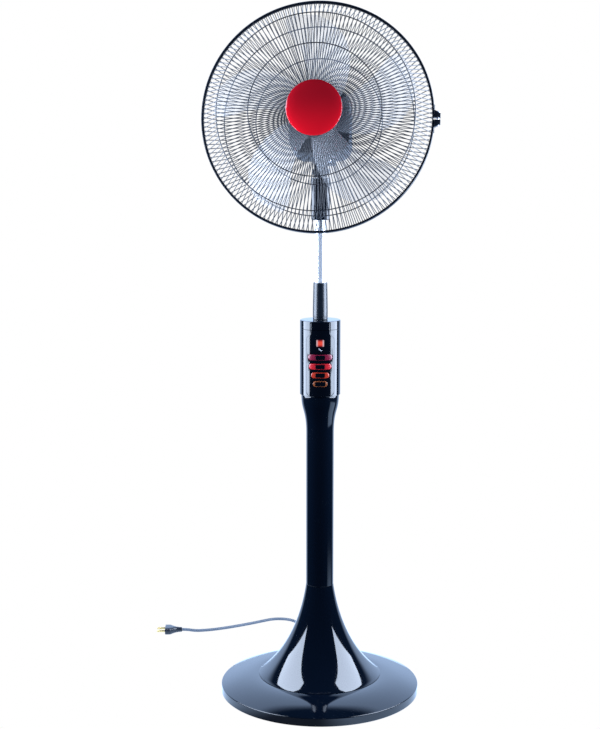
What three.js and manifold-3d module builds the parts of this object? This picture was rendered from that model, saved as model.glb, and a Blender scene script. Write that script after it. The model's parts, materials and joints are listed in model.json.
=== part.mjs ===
// Pedestal fan, in millimetres. +Z is up, the floor is Z = 0, the column's axis is X = Y = 0.
// The front faces -Y.
// Every piece is a mesh of its own. Round pieces are turned profiles, given as [radius, height] outlines.
import * as THREE from "three";
import { mergeVertices } from "three/addons/utils/BufferGeometryUtils.js";
import Module from "manifold-3d";

// ---- Driving dimensions -------------------------------------------------------------------------------

const GAP = 0.3; // between pieces that touch
const RUNNING_GAP = 0.25; // between a round piece and the bore it turns in
const SLIDING_GAP = 0.45; // between a piece and the guide it slides in

const ROUND_SIDES = 32; // on large round pieces
const BOX_SIDES = 40; // on the control box
const SMALL_SIDES = 16; // on small round pieces

// Base
const BASE_RADIUS = 199;
const BASE_SIDE_HEIGHT = 16;
const BASE_HEIGHT = 35; // from the cover's lower edge to the seat of the flare
const BASE_WALL = 2.5;
const COVER_CROWN = 1.8; // power by which the cover falls away towards its edge
const PLATE_THICKNESS = 1.2;
const FOOT_HEIGHT = 3;
const FOOT_RADIUS = 12;
const FOOT_INSET = 34; // of a foot's middle from the base's edge
const FOOT_COUNT = 4;
const WEIGHT_INSET = 49; // of its edge from the base's edge
const WEIGHT_BORE_RADIUS = 62;
const WEIGHT_THICKNESS = 8;

// Column
const FLARE_RADIUS = 123;
const FLARE_HEIGHT = 186;
const FLARE_WALL = 2.4;
const COLUMN_RADIUS = 27.3;
const COLUMN_WALL = 2.5;
const COLUMN_STRAIGHT = 310;
const COLUMN_TAPER = 78;
const TUBE_WALL = 1.5;
const FLANGE_RADIUS = 45;
const FLANGE_THICKNESS = 6;
const FLANGE_COLLAR_HEIGHT = 34;
const STUD_RADIUS = 8;
const STUD_DROP = 2.3; // from the underside of the base plate down to the stud's end

// Control box
const BOX_RADIUS = 39.7;
const BOX_OVERHANG = 2.5; // over the top of the column, all round
const BOX_WALL = 2.5;
const BOX_HEIGHT = 131; // from the column to the seam of the cap
const CAP_HEIGHT = 17;
const FASCIA_WIDTH = 54;
const FASCIA_CORNER = 9;
const FASCIA_PROUD = 0.5;
const TRIM_WIDTH = 37;
const BUTTON_HEIGHT = 11;
const BUTTON_PROUD = 1.3;
const BUTTON_DEPTH = 5.7;
const BUTTONS = [
  { name: "power_button", width: 47.5, height: 78, color: 0x9c1420 },
  { name: "speed_button", width: 44, height: 60, color: 0xd81a26 },
  { name: "swing_button", width: 35, height: 43, color: 0xd2321e },
  { name: "timer_button", width: 28.4, height: 26, color: 0xb5401c },
]; // height is that of the button's centre over the box's lower edge
const DISPLAY_WIDTH = 14.9;
const DISPLAY_HEIGHT = 13;
const DISPLAY_CENTRE = 106; // over the box's lower edge
const BOARD_WIDTH = 38;
const BOARD_LENGTH = 104;
const BOARD_THICKNESS = 1.6;

// Pole and its lock
const POLE_RADIUS = 10.75;
const POLE_WALL = 1.2;
const POLE_SHOWN = 122; // between the lock and the neck
const POLE_IN_TUBE = 550; // from the top of the support tube down to the pole's foot
const TUBE_OVERLAP = 88; // of the support tube inside the control box
const BUSH_HEIGHT = 12;
const BUSH_ROOM = 1.75; // between the pole and the support tube, which the bush fills
const COLLET_WALL = 5.95;
const COLLET_NECK_WALL = 1.95;
const LOCK_HEIGHT = 73;
const LOCK_FOOT_WALL = 3.4;
const LOCK_TOP_WALL = 2.45;

// Neck, which carries the head
const NECK_WIDTH = 36;
const NECK_DEPTH = 40;
const NECK_HEIGHT = 80;
const NECK_CORNER = 12;
const POLE_IN_NECK = 46;
const CLAMP_KNOB_RADIUS = 7.5;
const CLAMP_KNOB_LENGTH = 9;
const CLAMP_STEM_RADIUS = 3;
const CLAMP_HEIGHT = 11; // of the clamp knob's axis over the neck's lower edge

// Tilt joint
const TILT_RISE = 12; // of the tilt axis over the neck's shoulder
const TILT_EYE_RADIUS = 11;
const TONGUE_WIDTH = 12;
const KNUCKLE_WIDTH = 26;
const KNUCKLE_DEPTH = 30;
const KNUCKLE_SHOULDER = 19; // over the tilt axis
const KNUCKLE_BOSS_RADIUS = 11;
const TILT_BOLT_RADIUS = 3;
const HEAD_TILT_DEG = 11; // at rest, upwards
const HEAD_SWING_DEG = -4.2; // at rest, away from straight ahead

// Swing joint and its drive
const PIVOT_RADIUS = 6.5;
const PIVOT_LENGTH = 11;
const WASHER_RADIUS = 15;
const STUD_OFFSET = 24; // of the link's stud from the swing axis
const LINK_STUD_RADIUS = 2.5;
const LINK_WIDTH = 8;
const LINK_THICKNESS = 3.5;
const LINK_CLEARANCE = 1.1; // over the knuckle's shoulder
const CRANK_RATIO = 1.3; // of the crank's turn to the head's swing
const CRANK_THROW = 18.5;
const CRANK_RADIUS = 22;
const CRANK_THICKNESS = 4;
const CRANK_PIN_RADIUS = 2.4;
const CRANK_SHAFT_RADIUS = 3;
const SWING_MOTOR_BACK = 40; // of the swing motor's axis behind the swing axis
const SWING_MOTOR_SIDE = 5.5; // and beside it
const SWING_MOTOR_RADIUS = 17;
const SWING_MOTOR_HEIGHT = 14;

// Motor
const WASHER_HEIGHT = 2;
const STATOR_ROOM = 10.5; // between the stator and the cover
const COVER_CORNER = 26;
const COVER_WALL = 2.5;
const COVER_ROUNDING = 14;
const COVER_SPLIT = -18; // ahead of the swing axis
const COVER_BACK = -70;
const SHAFT_RADIUS = 4;
const SHAFT_BACK = -18;
const STATOR_HALF = 45;
const STATOR_FRONT = 26;
const STATOR_LENGTH = 29;
const ROTOR_RADIUS = 26.4;
const AIR_GAP = 0.6;
const BELL_RADIUS = 50;
const BELL_THICKNESS = 3;
const BUSH_RADIUS = 8;
const BUSH_LENGTH = 8;
const GUARD_BOSS_RADIUS = 18;
const GUARD_BOSS_LENGTH = 14;
const RING_NUT_RADIUS = 32;
const RING_NUT_THICKNESS = 9;

// Guards. The rim lies ahead of the swing axis, and ring places are ahead of the rim's plane.
const RIM_FORWARD = 88;
const RIM_SIDES = 48;
const GUARD_RADIUS = 217;
const GUARD_TURN_DEG = -1.9; // of the clamp from level, about the shaft
const WIRE_RADIUS = 1;
const RIM_WIRE_RADIUS = 1.6;
const GUARD_WIRES = 13;
const FRONT_RING_INSETS = [33, 94]; // of the rings from the guard's edge
const FRONT_RING_PLACES = [52, 68];
const REAR_RING_INSETS = [36, 96.5];
const REAR_RING_PLACES = [-40, -43];
const FRONT_HUB_RADIUS = 51.5;
const FRONT_HUB_FORWARD = 80;
const FRONT_HUB_WIDTH = 14;
const REAR_HUB_RADIUS = 55;
const REAR_HUB_FORWARD = -45;
const HUB_THICKNESS = 1.6;
const BAND_WIDTH = 10;
const BAND_WALL = 1.6;
const BAND_GAP = 4;
const EAR_THICKNESS = 8;
const EAR_ROOT_LENGTH = 14.5;
const EAR_PROUD = 11;
const EAR_DEPTH = 12;
const BAND_SCREW_RADIUS = 2;
const CAP_RADIUS = 51.5;
const CAP_EDGE = 3;
const CAP_RISE = 5;

// Blade
const BLADE_COUNT = 5;
const BLADE_INSET = 24; // of the tips from the guard's edge
const BLADE_HUB_RADIUS = 40;
const BLADE_HUB_LENGTH = 36;
const BLADE_HUB_WALL = 2.5;
const BLADE_FORWARD = 96; // of the hub's middle, ahead of the swing axis
const BLADE_THICKNESS = 2.2;
const BLADE_ROOT_CHORD = 62;
const BLADE_TIP_CHORD = 118;
const BLADE_ROOT_PITCH_DEG = 36;
const BLADE_TIP_PITCH_DEG = 19;
const BLADE_SWEEP_DEG = 26;
const BLADE_SHOULDER = 0.72; // share of the blade's length where its tip starts to round off
const SPINNER_RADIUS = 15;
const SPINNER_LENGTH = 17;

// Mains lead
const CORD_RADIUS = 3.25;
const COIL_MEAN_RADIUS = 39;
const COIL_TURNS_ACROSS = 3;
const COIL_LAYERS = 2;
const COIL_PITCH = 6.6;
const COIL_BACK = 310; // of the coil's centre behind the column's axis
const GLAND_WIDTH = 14;
const GLAND_HEIGHT = 9.4;
const GLAND_LENGTH = 13;
const INNER_LEAD_RADIUS = 3;
const PLUG_LENGTH = 38;
const PLUG_WIDTH = 36;
const PLUG_HEIGHT = 15;
const PLUG_PIN_RADIUS = 2.4;
const PLUG_PIN_LENGTH = 19;
const PLUG_PIN_SPACING = 19;

// ---- Heights that follow ------------------------------------------------------------------------------

const plateTop = FOOT_HEIGHT + PLATE_THICKNESS;
const sideTop = FOOT_HEIGHT + BASE_SIDE_HEIGHT;
const baseTop = FOOT_HEIGHT + BASE_HEIGHT;
const flareTop = baseTop + FLARE_HEIGHT;
const columnTop = flareTop + COLUMN_STRAIGHT + COLUMN_TAPER;
const capBottom = columnTop + BOX_HEIGHT;
const boxTop = capBottom + CAP_HEIGHT;
const lockTop = boxTop + LOCK_HEIGHT;
const neckBottom = lockTop + POLE_SHOWN;
const neckTop = neckBottom + NECK_HEIGHT;
const tiltHeight = neckTop + TILT_RISE;
const tubeBottom = plateTop + FLANGE_THICKNESS + 2 * GAP;
const tubeTop = columnTop + TUBE_OVERLAP;
const poleBottom = tubeTop - POLE_IN_TUBE;
const poleTop = neckBottom + POLE_IN_NECK;
const linkTop = KNUCKLE_SHOULDER + LINK_CLEARANCE + LINK_THICKNESS; // over the tilt axis
const crankTop = linkTop + GAP + CRANK_THICKNESS;
const knuckleTop = crankTop + 0.1;
const coverHalf = STATOR_HALF + STATOR_ROOM + COVER_WALL;
const shaftHeight = knuckleTop + WASHER_HEIGHT + coverHalf;
const coverFront = RIM_FORWARD + REAR_HUB_FORWARD - GAP; // ahead of the swing axis
const shaftFront = BLADE_FORWARD + BLADE_HUB_LENGTH / 2 + GAP + SPINNER_LENGTH - 3;

// ---- Radii that follow --------------------------------------------------------------------------------

const footCircle = BASE_RADIUS - FOOT_INSET;
const weightRadius = BASE_RADIUS - WEIGHT_INSET;
const tubeBore = POLE_RADIUS + BUSH_ROOM;
const tubeRadius = tubeBore + TUBE_WALL;
const columnTopRadius = BOX_RADIUS - BOX_OVERHANG;
const colletBore = POLE_RADIUS + GAP;
const colletRadius = colletBore + COLLET_WALL;
const colletNeckRadius = colletBore + COLLET_NECK_WALL;
const lockBore = POLE_RADIUS + SLIDING_GAP;
const frontRings = FRONT_RING_INSETS.map((inset, i) => [GUARD_RADIUS - inset, FRONT_RING_PLACES[i]]);
const rearRings = REAR_RING_INSETS.map((inset, i) => [GUARD_RADIUS - inset, REAR_RING_PLACES[i]]);
const bladeRadius = GUARD_RADIUS - BLADE_INSET;

// ---- Solids -------------------------------------------------------------------------------------------

const wasm = await Module();
wasm.setup();

/** The manifold-3d solid of a closed geometry. */
function solidOf(geometry) {
  const bare = geometry.clone();
  bare.deleteAttribute("normal");
  bare.deleteAttribute("uv");
  const merged = mergeVertices(bare, 1e-4);
  const vertProperties = new Float32Array(merged.attributes.position.array);
  const triVerts = new Uint32Array(merged.index.array);
  return new wasm.Manifold(new wasm.Mesh({ numProp: 3, vertProperties, triVerts }));
}

/** The geometry of a manifold-3d solid. */
function geometryOf(solid) {
  const { vertProperties, triVerts } = solid.getMesh();
  const geometry = new THREE.BufferGeometry();
  geometry.setAttribute("position", new THREE.BufferAttribute(vertProperties, 3));
  geometry.setIndex(new THREE.BufferAttribute(triVerts, 1));
  geometry.computeVertexNormals();
  return geometry;
}

/** One geometry from several that touch or overlap. */
function join(first, ...others) {
  return geometryOf(others.reduce((whole, other) => whole.add(solidOf(other)), solidOf(first)));
}

/** A geometry with others cut out of it. */
function cut(first, ...others) {
  return geometryOf(others.reduce((whole, other) => whole.subtract(solidOf(other)), solidOf(first)));
}

/** What two geometries share. */
function common(first, second) {
  return geometryOf(solidOf(first).intersect(solidOf(second)));
}

/** A solid of revolution about Z from an outline of [radius, height] points. */
function turned(outline, sides = ROUND_SIDES) {
  const points = outline.map(([radius, height]) => new THREE.Vector2(radius, height));
  const onAxis = outline[0][0] === 0 && outline.at(-1)[0] === 0;
  if (THREE.ShapeUtils.area(points) < 0) points.reverse();
  if (!onAxis) points.push(points[0].clone());
  return new THREE.LatheGeometry(points, sides).rotateX(Math.PI / 2);
}

/** A ring about Z between two radii and two heights. */
function ring(inner, outer, low, high, sides = ROUND_SIDES) {
  return turned(
    [
      [inner, low],
      [outer, low],
      [outer, high],
      [inner, high],
    ],
    sides,
  );
}

/** A disc about Z. */
function disc(radius, low, high, sides = SMALL_SIDES) {
  return turned(
    [
      [0, low],
      [radius, low],
      [radius, high],
      [0, high],
    ],
    sides,
  );
}

/** A box given by its limits on each axis. */
function block([left, right], [front, back], [low, high]) {
  const box = new THREE.BoxGeometry(right - left, back - front, high - low);
  return box.translate((left + right) / 2, (front + back) / 2, (low + high) / 2);
}

/** A straight round bar between two points. */
function bar(from, to, radius, sides = SMALL_SIDES) {
  const along = new THREE.Vector3().subVectors(to, from);
  const turn = new THREE.Quaternion().setFromUnitVectors(
    new THREE.Vector3(0, 1, 0),
    along.clone().normalize(),
  );
  const rod = new THREE.CylinderGeometry(radius, radius, along.length(), sides);
  return rod.applyQuaternion(turn).translate(...from.clone().addScaledVector(along, 0.5));
}

/** A tube along a smooth line through points. */
function tube(points, radius, steps, sides = 8) {
  const section = new THREE.Shape().absarc(0, 0, radius, 0, 2 * Math.PI);
  const line = new THREE.CatmullRomCurve3(
    points.map((point) => new THREE.Vector3(...point)),
    false,
    "centripetal",
  );
  return new THREE.ExtrudeGeometry(section, {
    steps,
    curveSegments: sides / 2, // on each half of the section
    extrudePath: line,
  });
}

/** A rectangle with round corners, centred on a point. */
function roundedRectangle(width, height, corner, [x, y] = [0, 0]) {
  const [right, top] = [width / 2, height / 2];
  const shape = new THREE.Shape();
  shape.absarc(x + right - corner, y + top - corner, corner, 0, Math.PI / 2);
  shape.absarc(x - right + corner, y + top - corner, corner, Math.PI / 2, Math.PI);
  shape.absarc(x - right + corner, y - top + corner, corner, Math.PI, 1.5 * Math.PI);
  shape.absarc(x + right - corner, y - top + corner, corner, 1.5 * Math.PI, 2 * Math.PI);
  return shape;
}

/** A shape in X and Z, drawn out along Y. */
function slab(shape, front, back, curveSegments = 3) {
  const options = { depth: back - front, bevelEnabled: false, curveSegments };
  return new THREE.ExtrudeGeometry(shape, options).rotateX(Math.PI / 2).translate(0, back, 0);
}

/** A shape in X and Y, drawn out along Z. */
function pillar(shape, low, high, curveSegments = 3) {
  const options = { depth: high - low, bevelEnabled: false, curveSegments };
  return new THREE.ExtrudeGeometry(shape, options).translate(0, 0, low);
}

/** Points along a cubic Bezier curve from one [radius, height] to another. */
function sweep(start, startHandle, endHandle, end, count) {
  const corners = [start, startHandle, endHandle, end].map((point) => new THREE.Vector2(...point));
  return new THREE.CubicBezierCurve(...corners).getPoints(count).map((point) => [point.x, point.y]);
}

/** Adds a named piece to a group. */
function piece(group, name, geometry, material) {
  const mesh = new THREE.Mesh(geometry, material);
  mesh.name = name;
  group.add(mesh);
  return mesh;
}

// ---- Materials ----------------------------------------------------------------------------------------

function material(color, roughness, metalness = 0) {
  return new THREE.MeshStandardMaterial({ color, roughness, metalness });
}

const glossBlack = () => material(0x14171f, 0.15);
const satinBlack = () => material(0x1b1d24, 0.5);
const wireBlack = () => material(0x23262f, 0.35);
const redGloss = () => material(0xd40f1e, 0.2);
const chrome = () => material(0xdfe2e8, 0.1, 1);
const zinc = () => material(0xc2c8cf, 0.35, 1);
const steel = () => material(0x7d828a, 0.45, 1);
const castAluminium = () => material(0xa9adb3, 0.55, 1);
const copperBrown = () => material(0x6d4a35, 0.6, 0.4);
const castIron = () => material(0x3a3b3d, 0.8, 0.6);
const rubber = () => material(0x1c1c1e, 0.9);
const cordGrey = () => material(0x6e7789, 0.6);
const bladePlastic = () => material(0xc4ccdb, 0.2);
const brass = () => material(0xc9a44c, 0.35, 1);
const boardGreen = () => material(0x1f5b3a, 0.6);
const whitePlastic = () => material(0xd9dadc, 0.5);

// ---- Base ---------------------------------------------------------------------------------------------

/** Height of the cover's outer surface at a radius. */
function coverHeight(radius) {
  const share = Math.max(0, (radius - FLARE_RADIUS) / (BASE_RADIUS - FLARE_RADIUS));
  return baseTop - (baseTop - sideTop) * share ** COVER_CROWN;
}

function baseCover() {
  const lip = FLARE_RADIUS - 12;
  const outer = [0.99, 0.7, 0.35, 0].map(
    (share) => FLARE_RADIUS + share * (BASE_RADIUS - FLARE_RADIUS),
  );
  const shell = turned([
    [BASE_RADIUS - BASE_WALL, FOOT_HEIGHT],
    [BASE_RADIUS, FOOT_HEIGHT],
    [BASE_RADIUS, sideTop - 1.5],
    ...outer.map((radius) => [radius, coverHeight(radius)]),
    [lip, baseTop],
    [lip, baseTop - BASE_WALL],
    ...outer.slice(1).reverse().map((radius) => [radius, coverHeight(radius) - BASE_WALL]),
    [BASE_RADIUS - BASE_WALL, sideTop - BASE_WALL],
  ]);
  const halfNotch = GLAND_WIDTH / 2 + GAP;
  const notch = block(
    [-halfNotch, halfNotch],
    [BASE_RADIUS - 3 * BASE_WALL, BASE_RADIUS + BASE_WALL],
    [0, FOOT_HEIGHT + GLAND_HEIGHT + GAP],
  );
  return cut(shell, notch);
}

function basePlate() {
  const plate = ring(STUD_RADIUS + GAP, BASE_RADIUS - BASE_WALL - GAP, FOOT_HEIGHT, plateTop);
  const halfNotch = GLAND_WIDTH / 2 + GAP;
  const notch = block(
    [-halfNotch, halfNotch],
    [BASE_RADIUS - 4 * BASE_WALL, BASE_RADIUS],
    [0, plateTop + 1],
  );
  return cut(plate, notch);
}

function supportFlange() {
  const low = plateTop + GAP;
  const bore = tubeRadius + GAP;
  return turned([
    [0, FOOT_HEIGHT - STUD_DROP],
    [STUD_RADIUS, FOOT_HEIGHT - STUD_DROP],
    [STUD_RADIUS, low],
    [FLANGE_RADIUS, low],
    [FLANGE_RADIUS, low + FLANGE_THICKNESS],
    [bore + 5, low + FLANGE_THICKNESS],
    [bore + 4, low + FLANGE_COLLAR_HEIGHT],
    [bore, low + FLANGE_COLLAR_HEIGHT],
    [bore, low + FLANGE_THICKNESS],
    [0, low + FLANGE_THICKNESS],
  ], SMALL_SIDES);
}

function addBase(group) {
  piece(group, "base_cover", baseCover(), glossBlack());
  piece(group, "base_plate", basePlate(), steel());
  const weightBottom = plateTop + GAP;
  const weight = ring(WEIGHT_BORE_RADIUS, weightRadius, weightBottom, weightBottom + WEIGHT_THICKNESS);
  piece(group, "base_weight", weight, castIron());
  piece(group, "support_flange", supportFlange(), steel());
  const nut = ring(STUD_RADIUS + GAP, STUD_RADIUS + 6, FOOT_HEIGHT - STUD_DROP, FOOT_HEIGHT - GAP, 6);
  piece(group, "flange_nut", cut(nut, disc(STUD_RADIUS + GAP, 0, FOOT_HEIGHT)), zinc());
  for (let i = 0; i < FOOT_COUNT; i++) {
    const angle = ((i + 0.5) * 2 * Math.PI) / FOOT_COUNT;
    const foot = piece(group, `foot_pad_${i + 1}`, disc(FOOT_RADIUS, 0, FOOT_HEIGHT - GAP), rubber());
    foot.position.set(footCircle * Math.cos(angle), footCircle * Math.sin(angle), 0);
  }
}

// ---- Column -------------------------------------------------------------------------------------------

function columnFlare() {
  const seat = baseTop + GAP;
  const neck = COLUMN_RADIUS + 0.2;
  const outer = sweep(
    [FLARE_RADIUS, seat],
    [0.44 * FLARE_RADIUS, seat + 0.28 * FLARE_HEIGHT],
    [neck + 5.5, flareTop - 0.22 * FLARE_HEIGHT],
    [neck, flareTop],
    6,
  );
  const inner = outer.map(([radius, height], i) => [
    radius - FLARE_WALL * (1 + Math.max(0, 1 - i / 3)),
    height,
  ]);
  return turned([...outer, ...inner.reverse()]);
}

function columnCover() {
  const low = flareTop + GAP;
  const taperStart = flareTop + COLUMN_STRAIGHT;
  const taper = sweep(
    [COLUMN_RADIUS, taperStart],
    [COLUMN_RADIUS, taperStart + 0.6 * COLUMN_TAPER],
    [columnTopRadius, columnTop - 0.45 * COLUMN_TAPER],
    [columnTopRadius, columnTop],
    5,
  );
  const outer = [[COLUMN_RADIUS, low], ...taper];
  const inner = outer.map(([radius, height]) => [radius - COLUMN_WALL, height]);
  return turned([...outer, ...inner.reverse()]);
}

function addColumn(group) {
  piece(group, "column_flare", columnFlare(), glossBlack());
  piece(group, "column_cover", columnCover(), glossBlack());
  const supportTube = ring(tubeBore, tubeRadius, tubeBottom, tubeTop, SMALL_SIDES);
  piece(group, "support_tube", supportTube, steel());
  const leadRoute = tubeRadius + GAP + INNER_LEAD_RADIUS + 1.5;
  const overWeight = plateTop + WEIGHT_THICKNESS + INNER_LEAD_RADIUS + 3;
  const lead = tube(
    [
      [0, BASE_RADIUS - GLAND_LENGTH + 4, FOOT_HEIGHT + GLAND_HEIGHT / 2 + 1],
      [0, weightRadius + 10, overWeight - 1],
      [0, weightRadius - 20, overWeight],
      [0, WEIGHT_BORE_RADIUS, overWeight + 2],
      [0, leadRoute + 8, baseTop + 25],
      [0, leadRoute, baseTop + 80],
      [0, leadRoute, flareTop],
      [0, leadRoute, columnTop + 10],
    ],
    INNER_LEAD_RADIUS,
    30,
  );
  piece(group, "inner_mains_lead", lead, cordGrey());
}

// ---- Control box --------------------------------------------------------------------------------------

/** The bottle-shaped outline of the front panel, grown by a margin. */
function fasciaOutline(margin = 0) {
  const low = columnTop + GAP + 1 - margin;
  const high = capBottom - GAP + margin;
  const half = FASCIA_WIDTH / 2 + margin;
  const neck = TRIM_WIDTH / 2 + margin;
  const shoulder = capBottom - 14;
  const corner = FASCIA_CORNER + margin;
  const shape = new THREE.Shape();
  shape.moveTo(-half + corner, low);
  shape.lineTo(half - corner, low);
  shape.quadraticCurveTo(half, low, half, low + corner);
  shape.lineTo(half, shoulder - 6);
  shape.bezierCurveTo(half, shoulder + 3, neck, shoulder + 1, neck, high);
  shape.lineTo(-neck, high);
  shape.bezierCurveTo(-neck, shoulder + 1, -half, shoulder + 3, -half, shoulder - 6);
  shape.lineTo(-half, low + corner);
  shape.quadraticCurveTo(-half, low, -half + corner, low);
  return shape;
}

/** The part of a wall round the box's axis that lies in front, inside an outline. */
function frontWall(inner, outer, outline) {
  const wall = ring(inner, outer, columnTop - 5, boxTop + 5, BOX_SIDES);
  return common(wall, slab(outline, -outer - 5, 0));
}

function buttonOutline({ width, height }, margin = 0) {
  const tall = BUTTON_HEIGHT + 2 * margin;
  return roundedRectangle(width + 2 * margin, tall, tall / 2 - 0.01, [0, columnTop + height]);
}

function displayOutline(margin = 0) {
  const [wide, tall] = [DISPLAY_WIDTH + 2 * margin, DISPLAY_HEIGHT + 2 * margin];
  return roundedRectangle(wide, tall, 1.5, [0, columnTop + DISPLAY_CENTRE]);
}

function addControlBox(group) {
  const bore = BOX_RADIUS - BOX_WALL;
  const low = columnTop + GAP;
  const floor = tubeRadius + 12;
  const shell = turned([
    [floor, low],
    [BOX_RADIUS, low],
    [BOX_RADIUS, capBottom],
    [bore, capBottom],
    [bore, low + BOX_WALL],
    [floor, low + BOX_WALL],
  ], BOX_SIDES);
  const opening = slab(fasciaOutline(GAP), -BOX_RADIUS - 5, -BOX_RADIUS / 3);
  piece(group, "box_shell", cut(shell, opening), glossBlack());

  const capBore = colletNeckRadius + GAP;
  const cap = turned([
    [BOX_RADIUS, capBottom + GAP],
    [BOX_RADIUS, boxTop - 1.5],
    [BOX_RADIUS - 1.5, boxTop],
    [capBore, boxTop],
    [capBore, boxTop - BOX_WALL],
    [bore, boxTop - BOX_WALL],
    [bore, capBottom + GAP],
  ], BOX_SIDES);
  const halfTrim = TRIM_WIDTH / 2;
  const trimNotch = block(
    [-halfTrim - GAP, halfTrim + GAP],
    [-BOX_RADIUS - 5, -BOX_RADIUS / 2],
    [capBottom - 1, boxTop - BOX_WALL - GAP],
  );
  piece(group, "box_cap", cut(cap, trimNotch), glossBlack());
  const trimBlock = block(
    [-halfTrim, halfTrim],
    [-BOX_RADIUS - 5, 0],
    [capBottom + GAP, boxTop - BOX_WALL - 2 * GAP],
  );
  const trimWall = ring(bore, BOX_RADIUS + FASCIA_PROUD, capBottom, boxTop, BOX_SIDES);
  piece(group, "neck_trim", common(trimWall, trimBlock), satinBlack());

  const front = BOX_RADIUS + FASCIA_PROUD;
  const holes = BUTTONS.map((button) => slab(buttonOutline(button, SLIDING_GAP), -front - 5, 0));
  const window = slab(displayOutline(GAP), -front - 5, 0);
  const panel = cut(frontWall(bore, front, fasciaOutline()), window, ...holes);
  piece(group, "control_fascia", panel, glossBlack());
  piece(group, "display_lens", frontWall(bore + GAP, front + 0.2, displayOutline()), redGloss());
  const buttonFront = front + BUTTON_PROUD - 0.2;
  for (const button of BUTTONS) {
    const body = frontWall(buttonFront - BUTTON_DEPTH, buttonFront, buttonOutline(button));
    piece(group, button.name, body, material(button.color, 0.3));
  }

  const boardFront = -(BOX_RADIUS - BOX_WALL - 11);
  const boardLow = columnTop + 14;
  const board = block(
    [-BOARD_WIDTH / 2, BOARD_WIDTH / 2],
    [boardFront, boardFront + BOARD_THICKNESS],
    [boardLow, boardLow + BOARD_LENGTH],
  );
  piece(group, "circuit_board", board, boardGreen());

  const collet = turned([
    [colletBore, tubeTop + GAP],
    [colletRadius, tubeTop + GAP],
    [colletRadius, capBottom - GAP],
    [colletNeckRadius, capBottom + 4],
    [colletNeckRadius, boxTop - 1],
    [colletBore, boxTop - 1],
  ], SMALL_SIDES);
  const halfSlit = 1;
  const slit = block([-halfSlit, halfSlit], [0, colletRadius + 1], [tubeTop + 12, boxTop]);
  piece(group, "pole_collet", cut(collet, slit), satinBlack());
}

// ---- Pole, lock and neck ------------------------------------------------------------------------------

function addPole(group) {
  const lock = turned([
    [lockBore, boxTop + GAP],
    [lockBore + LOCK_FOOT_WALL, boxTop + GAP],
    [lockBore + LOCK_FOOT_WALL, boxTop + 0.3 * LOCK_HEIGHT],
    [lockBore + LOCK_TOP_WALL, lockTop - 2],
    [lockBore + LOCK_TOP_WALL - 1.2, lockTop],
    [lockBore, lockTop],
  ], 20);
  piece(group, "height_lock_nut", lock, satinBlack());

  const poleBore = POLE_RADIUS - POLE_WALL;
  piece(group, "chrome_pole", ring(poleBore, POLE_RADIUS, poleBottom, poleTop, 20), chrome());
  const bushTop = poleBottom - GAP;
  const bush = ring(5, tubeBore - SLIDING_GAP, bushTop - BUSH_HEIGHT, bushTop, SMALL_SIDES);
  piece(group, "pole_bush", bush, whitePlastic());

  const neck = pillar(roundedRectangle(NECK_WIDTH, NECK_DEPTH, NECK_CORNER), neckBottom, neckTop);
  const half = TONGUE_WIDTH / 2;
  const tongue = join(
    block([-half, half], [-TILT_EYE_RADIUS, TILT_EYE_RADIUS], [neckTop - 1, tiltHeight]),
    bar(new THREE.Vector3(-half, 0, tiltHeight), new THREE.Vector3(half, 0, tiltHeight), TILT_EYE_RADIUS),
  );
  const tiltBore = bar(
    new THREE.Vector3(-NECK_WIDTH, 0, tiltHeight),
    new THREE.Vector3(NECK_WIDTH, 0, tiltHeight),
    TILT_BOLT_RADIUS + RUNNING_GAP,
  );
  const clampHeight = neckBottom + CLAMP_HEIGHT;
  const clampBore = bar(
    new THREE.Vector3(0, -NECK_DEPTH, clampHeight),
    new THREE.Vector3(0, 0, clampHeight),
    CLAMP_STEM_RADIUS + RUNNING_GAP,
  );
  const poleSeat = disc(POLE_RADIUS + GAP, neckBottom - 1, poleTop + GAP, 20);
  const cableHole = disc(3.5, neckBottom, neckTop - 9, 12);
  const cableExit = bar(
    new THREE.Vector3(0, 0, neckTop - 12.5),
    new THREE.Vector3(0, NECK_DEPTH, neckTop - 12.5),
    3.5,
    12,
  );
  const socket = cut(join(neck, tongue), tiltBore, clampBore, poleSeat, cableHole, cableExit);
  piece(group, "neck_socket", socket, glossBlack());
  const cable = tube(
    [
      [0, 0, poleBottom + 8],
      [0, 0, (poleBottom + poleTop) / 2],
      [0, 0, neckTop - 16],
    ],
    2.5,
    8,
  );
  piece(group, "motor_cable", cable, rubber());

  const knobBack = -NECK_DEPTH / 2 - GAP;
  const stemTip = -POLE_RADIUS - GAP;
  const knob = turned([
    [0, -stemTip],
    [CLAMP_STEM_RADIUS, -stemTip],
    [CLAMP_STEM_RADIUS, -knobBack],
    [CLAMP_KNOB_RADIUS, -knobBack],
    [CLAMP_KNOB_RADIUS, -knobBack + CLAMP_KNOB_LENGTH - 1.5],
    [CLAMP_KNOB_RADIUS - 1.5, -knobBack + CLAMP_KNOB_LENGTH],
    [0, -knobBack + CLAMP_KNOB_LENGTH],
  ], 16);
  const clampKnob = piece(group, "neck_clamp_knob", knob, satinBlack());
  clampKnob.position.z = clampHeight;
  clampKnob.rotation.x = Math.PI / 2;
}

// ---- Tilt knuckle, in the frame of the tilted head ----------------------------------------------------

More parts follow.
